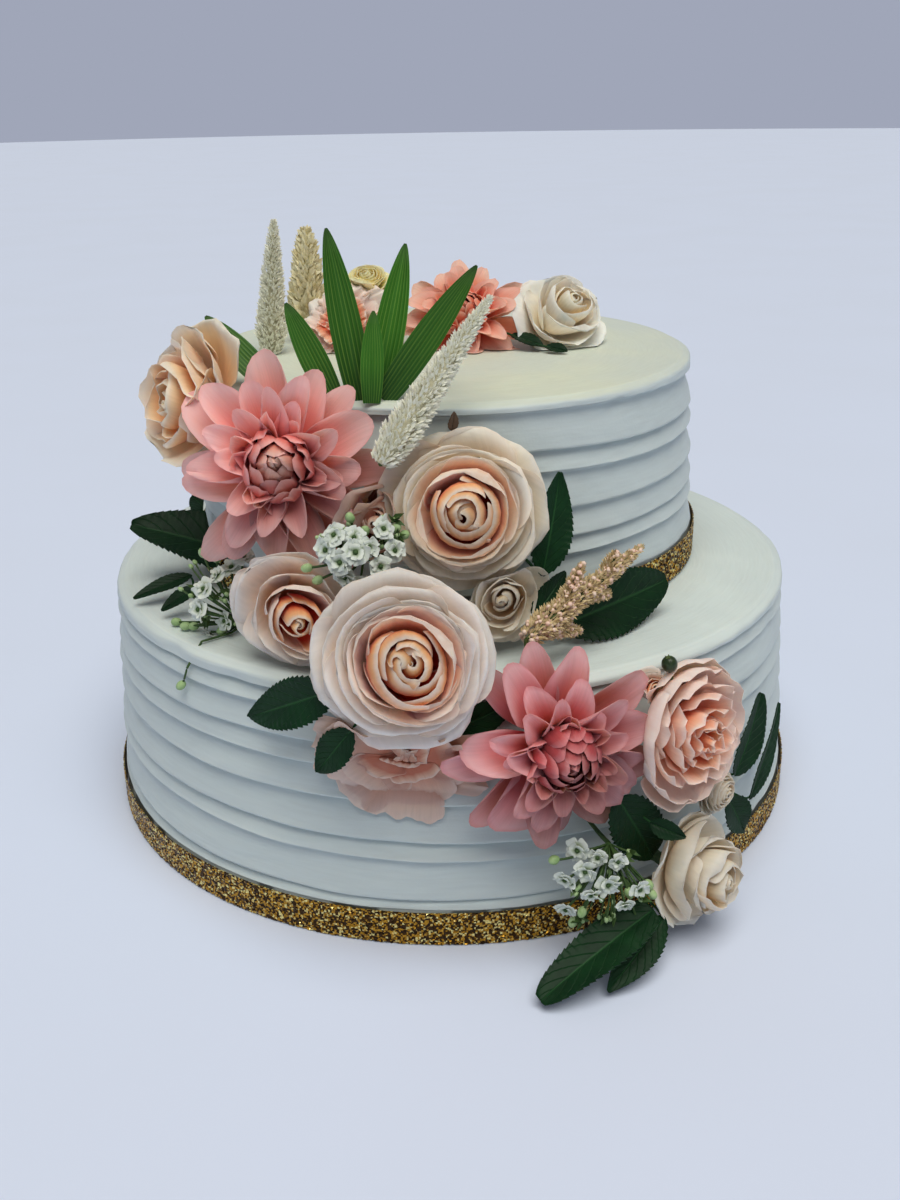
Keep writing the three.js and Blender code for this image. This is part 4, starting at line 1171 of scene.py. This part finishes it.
def add_calyx(heap, turn, foot, radius):
    """The green cup that the petals spring from, left out where the icing would crush it."""
    rows = np.array(CALYX_ROWS)[:, None] * [CALYX_RADIUS, CALYX_DEPTH]
    grid = circle(*np.eye(3)[:2], 10) * rows[..., :1] + rows[..., 1:] * [0, 0, 1]
    before = grid @ turn.T * radius + foot
    grid = clear_of_tiers(before.copy())
    if np.linalg.norm(grid - before, axis=-1).max() < CALYX_GIVE * radius:
        heap.add(turned_solid(grid), 1)


def add_wire(heap, origin, finish):
    """A slim stem from a piece's own origin into the icing."""
    end = nearest_icing(origin)
    sag = np.array([0, 0, -0.04]) * np.linalg.norm(end - origin)
    corners = [origin, origin * 0.7 + end * 0.3 + sag, origin * 0.3 + end * 0.7 + sag, end]
    heap.add(tube(bezier(corners, np.linspace(0, 1, 9)), WIRE_RADIUS), finish)


# Leaves and blades.

TOOTH = 2.6 * MM


def stem_frame(foot, tip, face=(0, -1, 0)):
    """Across, along and out of the face of something that runs from foot to tip, and its length."""
    foot = millimetres(foot)
    along = millimetres(tip) - foot
    size = np.linalg.norm(along)
    along = along / size
    across = unit(np.cross(along, face))
    return np.stack([across, along, np.cross(across, along)]), foot, size


def add_stalk(heap, foot, along, rooted, radius=0.75 * MM):
    """A leaf's stalk: to the icing, or a stub that lies among the flowers."""
    end = nearest_icing(foot, 1.5 * MM) if rooted else foot - along * 6 * MM
    corners = [foot + along * 3 * MM, foot - along * 2 * MM, (foot + end) / 2, end]
    heap.add(tube(bezier(corners, np.linspace(0, 1, 8)), np.linspace(0.6, 1, 8) * radius), along=0.3)


def leaf_piece(name, leaf, settings, finish):
    """A toothed leaf, folded along its midrib and gently waved."""
    foot, tip, width, face, fullness = (*leaf, POINTED)[:5]
    draw = seeded(name)
    axes, start, size = stem_frame(foot, tip, face)
    teeth = int(np.clip(size / TOOTH, 5, 20))
    rows = teeth * 4 + 1
    u = np.linspace(0, 1, rows)[:, None]
    v = np.linspace(-1, 1, 11)[None]
    outline = 0.04 + 0.96 * np.sin(math.pi * u**0.8) ** fullness
    tooth = (np.arange(rows) % 4)[:, None] / 3
    notch = 1 - 0.09 * tooth * smooth_step(np.abs(v) * 2 - 1) * smooth_step(u / 0.12)
    half = width / 2 * MM * outline
    veins = np.abs((u * 8 - np.abs(v) * 2.2) % 1 - 0.5) * 2
    relief = (veins**4 * 0.22 + np.exp(-((v / 0.08) ** 2)) * 0.3) * MM * np.minimum(1, outline * 2)
    wave = 0.8 * MM * v * np.sin(u * 7)
    wave = wave + 0.5 * MM * np.sin(v * 2 + u * 5 + draw.uniform(0, TURN)) * np.abs(v)
    lift = 0.22 * np.abs(v) * half + 0.1 * size * u * (1 - u) + wave * (width / 24) - relief
    grid = np.stack([v * half * notch, (u + 0.012 * tooth * np.abs(v)) * size, lift], -1) @ axes + start
    heap = Heap()
    grid = clear_of_tiers(grid, smooth_step(u / 0.2))
    heap.add_sheet(grid, settings.thickness, u, v, tone=draw.uniform(-1, 1))
    add_stalk(heap, start, axes[1], name not in UNROOTED)
    return heap.build("green_" + name, [finish])


def blade_piece(name, blade, settings, finish):
    """A pleated palm blade."""
    foot, tip, width, face = blade
    draw = seeded(name)
    axes, start, size = stem_frame(foot, tip, face)
    rows, columns = 34, 17
    u = 1 - (1 - np.linspace(0, 1, rows)[:, None]) ** 1.6
    v = np.linspace(-1, 1, columns)[None]
    outline = 0.04 + 0.96 * np.sin(math.pi * np.minimum(0.27 + 0.73 * u, 1) ** 1.15) ** 0.7
    half = width * 0.47 * MM * outline
    pleat = np.where(np.arange(columns) % 2, 0.28, -0.28) * MM * np.minimum(1, outline)
    twist = draw.uniform(-1, 1) * 0.25
    lift = 0.12 * np.abs(v) * half - 0.05 * size * u * (1 - u) + twist * v * half * u + pleat
    grid = np.stack([v * half, u * size + 0 * v, lift], -1) @ axes + start
    heap = Heap()
    grid = clear_of_tiers(grid, smooth_step(u / 0.1))
    heap.add_sheet(grid, settings.thickness, u, v, tone=draw.uniform(-1, 1))
    return heap.build("green_" + name, [finish])


# Grasses and the berry.

BRACT_FACES = (
    np.array([[0, 1, 4, 3], [1, 2, 5, 4], [2, 0, 3, 5]]),
    np.array([[2, 1, 0], [3, 4, 6], [4, 5, 6], [5, 3, 6]]),
)


def add_bract(heap, spot, way, size, width, draw, finish=0):
    """A small pointed scale: a slim pyramid that is bent a little."""
    way = unit(way)
    side = unit(np.cross(way, draw.normal(size=3)))
    up = np.cross(way, side)
    turns = (0, TURN / 3, -TURN / 3)
    base = [spot + (side * math.cos(a) + up * math.sin(a) * 0.5) * width / 2 for a in turns]
    belly = [point + way * size * 0.45 + (point - spot) * 0.35 for point in base]
    tip = spot + way * size + side * size * draw.normal() * 0.12
    heap.add(([*base, *belly, tip], BRACT_FACES), finish, tone=draw.uniform(0, 0.5), along=0.5)


class Stem(NamedTuple):
    """Something that runs from its start along its middle axis, swells, tapers and ends round."""

    axes: np.ndarray
    start: np.ndarray
    size: float
    radii: tuple
    flat: float = 1.0

    def radius(self, share):
        """Its radius in metres, a share of the way along."""
        radius = self.radii[0] + (self.radii[1] - self.radii[0]) * share
        return radius * MM * np.minimum(1, 0.55 + 3 * share) * np.sqrt(1 - np.clip(share, 0, 1) ** 8 * 0.9)

    def spot(self, share):
        return self.start + self.axes[1] * share * self.size

    def way(self, angle):
        return self.axes[0] * math.cos(angle) + self.axes[2] * math.sin(angle) * self.flat


def add_bristles(heap, stem, count, bract, draw, width=0.42, spread=0.55):
    """Bracts set in a spiral round a tapering stem, pointing out and towards the tip."""
    for index in range(count):
        share = (index + draw.uniform(0, 1)) / count
        way = stem.way(index * 2.4 + draw.uniform(-0.3, 0.3))
        radius = stem.radius(share)
        reach = bract * draw.uniform(0.75, 1.15) * (0.5 + 0.5 * radius / (stem.radii[0] * MM))
        outward = draw.uniform(spread, 1.0)
        inset = reach * outward * draw.uniform(0.3, 1.1)
        spot = stem.spot(share) + way * max(radius - inset, radius * 0.2)
        way = way * outward + stem.axes[1] * math.sqrt(1.2 - outward**2)
        add_bract(heap, spot, way, reach, reach * width, draw)


def spike_piece(name, settings, finishes):
    """A bristly flower spike or plume: bracts round a solid middle that they hide, the middle given the last
    finish, which on a spike is a darker colour as painted shade in the gaps between the bracts.
    """
    foot, tip, radii, flat, count, bract, width, spread = GRASSES[name]
    stem = Stem(*stem_frame(foot, tip), radii, flat)
    heap = Heap()
    up = np.linspace(0, 0.97, 10)[:, None, None]
    core = circle(stem.axes[0], stem.axes[2] * flat, 8) * stem.radius(up) * 0.55
    # Painted shade: the middle takes the last finish, darker on the spikes, so that the gaps between the
    # bracts look shaded.
    heap.add(turned_solid(stem.spot(up) + core), len(finishes) - 1)
    add_bristles(heap, stem, count, settings.bract * bract, seeded(name), width, spread)
    if name in WIRED:
        add_wire(heap, stem.start, 1)
    return heap.build("grass_" + name, finishes)


def astilbe_piece(settings, finishes):
    """A branched spray of tiny tan bracts and pink beads."""
    draw = seeded("astilbe")
    heap = Heap()
    main = Stem(*stem_frame(*ASTILBE[:2]), ASTILBE[2])
    stems = [main]
    for index, (share, reach) in enumerate(ASTILBE_BRANCHES):
        hand = 1 if index % 2 else -1
        aside, forward = (hand * math.radians(angle) for angle in ASTILBE_LEAN)
        lean = Matrix.Rotation(aside, 3, "Z") @ Matrix.Rotation(forward, 3, "X")
        stems.append(Stem(np.array(lean).T @ main.axes, main.spot(share), reach * MM, (5, 2.2)))
    for stem in stems:
        heap.add(tube(stem.spot(np.linspace(0, 1, 6)[:, None]), 0.8 * MM), 2)
        add_bristles(heap, stem, int(stem.size / MM * 16), settings.bract, draw, spread=0.8)
        for _ in range(int(stem.size / MM * 2.8)):
            share, way = draw.uniform(0, 1) ** 1.5, stem.way(draw.uniform(0, TURN))
            spot = stem.spot(share) + way * stem.radius(share) * draw.uniform(0.6, 0.95)
            wide = draw.uniform(1.5, 2.6) * MM
            heap.add(ball(spot, draw.normal(size=3), wide, wide / 2, 5, 6), 1, tone=draw.uniform(0, 0.6))
    add_wire(heap, main.start, 2)
    return heap.build("grass_astilbe", finishes)


def berry_piece(finishes):
    """One dark bead on a thin stalk, with five short hairs at its end."""
    foot, tip, radius = (millimetres(value) for value in BERRY)
    heap = Heap()
    heap.add(ball(tip, tip - foot, radius * 2.05, radius * 0.95, 12, 16))
    way = unit(tip - foot)
    heap.add(tube(foot + way * np.linspace(0, 7 * MM, 5)[:, None], 0.7 * MM), 1)
    for hair in range(5):
        angle = hair * TURN / 5
        side = np.array([math.cos(angle), math.sin(angle), 0])
        side -= way * (side @ way)
        path = tip + way * radius * 0.9 + (way * 0.5 + side) * np.linspace(0, 1.6 * MM, 4)[:, None]
        heap.add(tube(path, millimetres([0.3, 0.4, 0.3, 0.1]), 5), 1)
    return heap.build("berry_bead", finishes)


# Baby's breath.

FLORET = rings(
    dict(notch=0.2, wrap=0.3, ruffle=0.07, waves=3, vary=1.6),
    (5, 54, (6, 0, 40, 2, 80, 16, 100, 6), dict(flat=0.8, roll=0.04)),
    (4, 38, (5, 3, 25, 14, 45, 30, 62, 26), dict(flat=0.5)),
)
FLORET_THICKNESS = 0.25 * MM
SPRIGS, LEAFY_SPRIGS = 18, 8


def add_floret(heap, centre, way, radius, draw):
    """A small double flower: five broad frilled petals, four short ones, and a green eye."""
    way = unit(way)
    turn = np.array(Vector((0, 0, 1)).rotation_difference(Vector(way)).to_matrix())
    for ring in FLORET:
        start = draw.uniform(0, 1)
        for petal in range(ring.petals):
            grid, u, v, _, _ = petal_grid(ring, 6, 8, 1.0, draw)
            grid = about_axis(grid, (petal + start + draw.uniform(-0.12, 0.12)) * TURN / ring.petals)
            grid = clear_of_tiers(grid @ turn.T * radius + centre)
            heap.add_sheet(grid, FLORET_THICKNESS, u, v, tone=draw.uniform(-1, 1))
    heap.add(ball(centre + way * radius * 0.14, way, radius * 0.4, radius * 0.22, 5, 7), 2)


def spray_piece(name, spray, settings, finishes):
    """A spray of florets and buds, on stems that spring from one place behind it."""
    draw = seeded(name)
    heap = Heap()
    normal = unit(np.array(spray.face, float))
    across = unit(np.cross((0, 0, 1), normal))
    up = np.cross(normal, across)
    centre, half = millimetres(spray.at), millimetres(spray.half)
    root = centre + (across * spray.root[0] + up * spray.root[1]) * MM - normal * half[1] * 0.5

    def spot_of(x, y, proud):
        """A place on the front of the spray's rounded outline."""
        share = min(1, math.hypot(x * MM / half[0], y * MM / half[2]))
        return centre + (across * x + up * y) * MM + normal * half[1] * math.sqrt(1 - share**2) * proud

    def add_stem(end, radius=settings.stem):
        lift = normal * 0.12 * np.linalg.norm(end - root)
        corners = [root, root * 0.6 + end * 0.4 + lift, root * 0.25 + end * 0.75 + lift, end]
        heap.add(tube(clear_of_tiers(bezier(corners, np.linspace(0, 1, 20)), 1, 1.4 * MM), radius), 2)

    for x, y, radius in spray.florets:
        spot = spot_of(x, y, draw.uniform(0.8, 1.05))
        way = unit(spot - root) + normal * 0.6 + draw.normal(size=3) * 0.12
        add_floret(heap, spot, way, radius * MM * draw.uniform(0.9, 1.05), draw)
        add_stem(spot)
    for x, y in spray.buds:
        end = clear_of_tiers(spot_of(x, y, 0.6)[None], 1, settings.bud + 0.3 * MM)[0]
        add_stem(end)
        heap.add(ball(end, end - root, settings.bud * 2.5, settings.bud, 7, 8), 1, tone=draw.uniform(0, 0.4))
    for sprig in range(SPRIGS):
        x, y = draw.uniform(-0.85, 0.85, 2) * [spray.half[0], spray.half[2]]
        if sprig < LEAFY_SPRIGS:
            spot = spot_of(x, y, 0.3)
            for _ in range(4):
                add_bract(heap, spot, draw.normal(size=3) + normal, 6 * MM, 2.4 * MM, draw, 2)
        spot = spot_of(x, y, draw.uniform(0.2, 0.75))
        heap.add(ball(spot, spot - root, 3 * MM, 1.1 * MM, 5, 6), 1, tone=draw.uniform(0, 0.6))
        add_stem(spot, settings.stem * 0.8)
    if name in WIRED:
        add_wire(heap, root, 2)
    return heap.build("sprig_" + name, finishes)


# Operators.


def build_blooms(settings, kinds):
    """Makes every bloom of some kinds. A bloom keeps out of the rooms of those listed before it."""
    finishes = {look: petal_finish(look) for look in LOOKS}
    finishes["calyx"] = plain_finish("calyx", settings.calyx, "283e22", 300.0)
    rooms = []
    for name, bloom in BLOOMS.items():
        if bloom.kind in kinds:
            piece = bloom_piece(name, bloom, settings, rooms, finishes)
            place(piece, name)
        rooms.append(Room(name))


class CAKE_OT_tiers(bpy.types.Operator):
    """Make both tiers in combed buttercream"""

    bl_idname = "cake.tiers"
    bl_label = "Tiers"

    def execute(self, context):
        place_each(tier_piece, TIERS, "icing", context.scene.cake_icing)
        return {"FINISHED"}


class CAKE_OT_ribbons(bpy.types.Operator):
    """Make the glitter ribbon round the foot of each tier"""

    bl_idname = "cake.ribbons"
    bl_label = "Ribbons"

    def execute(self, context):
        settings = context.scene.cake_ribbon
        finish = glitter_finish(settings)
        for node in ("ribbon_bottom", "ribbon_top"):
            place(ribbon_piece(node, settings, finish), node)
        return {"FINISHED"}


class CAKE_OT_roses(bpy.types.Operator):
    """Make the roses, peonies and other round blooms"""

    bl_idname = "cake.roses"
    bl_label = "Roses and peonies"

    def execute(self, context):
        build_blooms(context.scene.cake_flower, [kind for kind in KINDS if kind != "dahlia"])
        return {"FINISHED"}


class CAKE_OT_dahlias(bpy.types.Operator):
    """Make the dahlias"""

    bl_idname = "cake.dahlias"
    bl_label = "Dahlias"

    def execute(self, context):
        build_blooms(context.scene.cake_flower, ["dahlia"])
        return {"FINISHED"}


class CAKE_OT_greens(bpy.types.Operator):
    """Make the leaves and the palm blades"""

    bl_idname = "cake.greens"
    bl_label = "Leaves and blades"

    def execute(self, context):
        settings = context.scene.cake_green
        leaf, blade = leaf_finish(settings), blade_finish(settings)
        brown = plain_finish("sepal", rgb("403024"), "604c3a", 300.0)
        for name, item in LEAVES.items():
            finish = brown if name == "sepal_tip" else leaf
            place(leaf_piece(name, item, settings, finish), name)
        place_each(blade_piece, BLADES, "blade_green", settings, blade)
        return {"FINISHED"}


class CAKE_OT_grasses(bpy.types.Operator):
    """Make the spikes, the plume, the astilbe and the berry"""

    bl_idname = "cake.grasses"
    bl_label = "Grasses and berry"

    def execute(self, context):
        settings = context.scene.cake_grass
        straw = plain_finish("straw", settings.straw, "e8e6d0", 260.0, 0.8)
        # A darker colour for the spikes' hidden middle, painted shade in the gaps between the bracts.
        core_gap_shade = plain_finish("core_gap_shade", rgb("cecab0"), "b0aa8a", 260.0, 0.9)
        gold = plain_finish("plume", settings.plume, "d8ca9a", 260.0, 0.8)
        tan = plain_finish("astilbe", settings.astilbe, "aa9060", 300.0, 0.8)
        bead = plain_finish("bead", settings.bead, "ecd6c4", 500.0, 0.45)
        stem = plain_finish("stem", rgb("465c2c"), "686e3e", 300.0)
        berry = plain_finish("berry", settings.berry, "46542c", 500.0, 0.3)
        for name in ("spike_front", "spike_left"):
            place(spike_piece(name, settings, [straw, stem, core_gap_shade]), name)
        place(spike_piece("plume", settings, [gold]), "plume")
        place(astilbe_piece(settings, [tan, bead, stem]), "astilbe")
        place(berry_piece([berry, stem]), "berry")
        return {"FINISHED"}


class CAKE_OT_breath(bpy.types.Operator):
    """Make the sprays of baby's breath"""

    bl_idname = "cake.breath"
    bl_label = "Baby's breath"

    def execute(self, context):
        settings = context.scene.cake_breath
        petal = breath_finish(settings)
        bud = plain_finish("breath_bud", settings.green, "b0c894", 500.0, 0.5)
        stem = plain_finish("breath_stem", rgb("2c4822"), "4e6832", 500.0)
        place_each(spray_piece, SPRAYS, "breath_white", settings, [petal, bud, stem])
        return {"FINISHED"}


class CAKE_OT_stage(bpy.types.Operator):
    """Make the floor, the light and the camera"""

    bl_idname = "cake.stage"
    bl_label = "Stage"

    def execute(self, context):
        settings = context.scene.cake_stage
        make_floor(settings)
        make_light(context.scene, settings)
        make_camera(context.scene, settings)
        return {"FINISHED"}


# Stage.

CAMERA_SPOT = (0, -0.648, 0.362)
CAMERA_DOWN, CAMERA_ROLL = math.radians(22.5), math.radians(-0.95)
CAMERA_SHIFT = -4 / 1200
KEY_HEIGHT, KEY_HEADING = math.radians(70), math.radians(14)  # where the high light comes from
KEY_WIDTH = math.radians(46)
FLOOR_REACH, FLOOR_SIDES = 9, 96


def make_floor(settings):
    """A broad round floor."""
    mesh = bpy.data.meshes.new("floor")
    points = circle(*np.eye(3)[:2], FLOOR_SIDES) * FLOOR_REACH
    mesh.from_pydata(points.tolist(), [], [list(range(FLOOR_SIDES))])
    finish = Finish("floor")
    body = finish.mix(finish.scaled(finish.noise(5.0), 0.3, 0.7, 0, 0.3), settings.floor, rgb("d2dbec"))
    mesh.materials.append(finish.surface(Base_Color=body, Roughness=0.55, Specular_IOR_Level=0.3))
    shown("floor", mesh)


def make_light(scene, settings):
    """A broad high light, and surroundings that are dimmest between eye level and the ceiling."""
    sky = Finish("surroundings", "worlds")
    upward = sky.parts(sky.node("TexCoord").outputs["Generated"])[2]
    shade = sky.ramp(upward, (0.1, settings.horizon), (0.3, settings.middle), (1.0, settings.zenith))
    sky.node("OutputWorld", {"Surface": sky.node("Background", {"Color": shade}).outputs[0]})
    scene.world = sky.owner
    data = bpy.data.lights.new("key", "SUN")
    data.energy = settings.key_strength
    data.angle = KEY_WIDTH
    data.color = rgb("fffbf2")
    light = shown("key", data)
    level = math.cos(KEY_HEIGHT)
    light.location = (level * math.sin(KEY_HEADING), -level * math.cos(KEY_HEADING), math.sin(KEY_HEIGHT))
    light.rotation_euler = light.location.to_track_quat("Z", "Y").to_euler()
    scene.view_settings.view_transform = "Standard"
    scene.view_settings.look = "None"


def make_camera(scene, settings):
    """The camera, which looks down on the cake from the front."""
    data = bpy.data.cameras.new("camera")
    data.sensor_width = 36
    data.lens = settings.lens
    data.shift_y = CAMERA_SHIFT
    scene.camera = shown("camera", data)
    scene.camera.location = CAMERA_SPOT
    turn = Matrix.Rotation(math.pi / 2 - CAMERA_DOWN, 3, "X") @ Matrix.Rotation(CAMERA_ROLL, 3, "Z")
    scene.camera.rotation_euler = turn.to_euler()


class CAKE_PT_panel(bpy.types.Panel):
    """Lists the cake's settings and the steps that make it"""

    bl_label = "Tiered wedding cake"
    bl_idname = "CAKE_PT_panel"
    bl_space_type = "VIEW_3D"
    bl_region_type = "UI"
    bl_category = "Cake"

    def draw(self, context):
        for step in STEPS:
            self.layout.operator(step.bl_idname)
        for name in SETTINGS:
            box = self.layout.box()
            group = getattr(context.scene, name)
            for item in group.bl_rna.properties:
                if item.identifier not in ("rna_type", "name"):
                    box.prop(group, item.identifier)


SETTINGS = {
    "cake_icing": IcingSettings, "cake_ribbon": RibbonSettings, "cake_flower": FlowerSettings,
    "cake_green": GreenSettings, "cake_grass": GrassSettings, "cake_breath": BreathSettings,
    "cake_stage": StageSettings,
}
STEPS = (
    CAKE_OT_stage, CAKE_OT_tiers, CAKE_OT_ribbons, CAKE_OT_roses, CAKE_OT_dahlias, CAKE_OT_greens,
    CAKE_OT_grasses, CAKE_OT_breath,
)


def register():
    for kind in (*SETTINGS.values(), *STEPS, CAKE_PT_panel):
        bpy.utils.register_class(kind)
    for name, kind in SETTINGS.items():
        setattr(bpy.types.Scene, name, PointerProperty(type=kind))


def unregister():
    for name in SETTINGS:
        delattr(bpy.types.Scene, name)
    for kind in reversed((*SETTINGS.values(), *STEPS, CAKE_PT_panel)):
        bpy.utils.unregister_class(kind)


def main():
    register()
    bpy.ops.cake.stage()
    bpy.ops.cake.tiers()
    bpy.ops.cake.ribbons()
    bpy.ops.cake.roses()
    bpy.ops.cake.dahlias()
    bpy.ops.cake.greens()
    bpy.ops.cake.grasses()
    bpy.ops.cake.breath()
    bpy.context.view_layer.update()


if __name__ == "__main__":
    main()
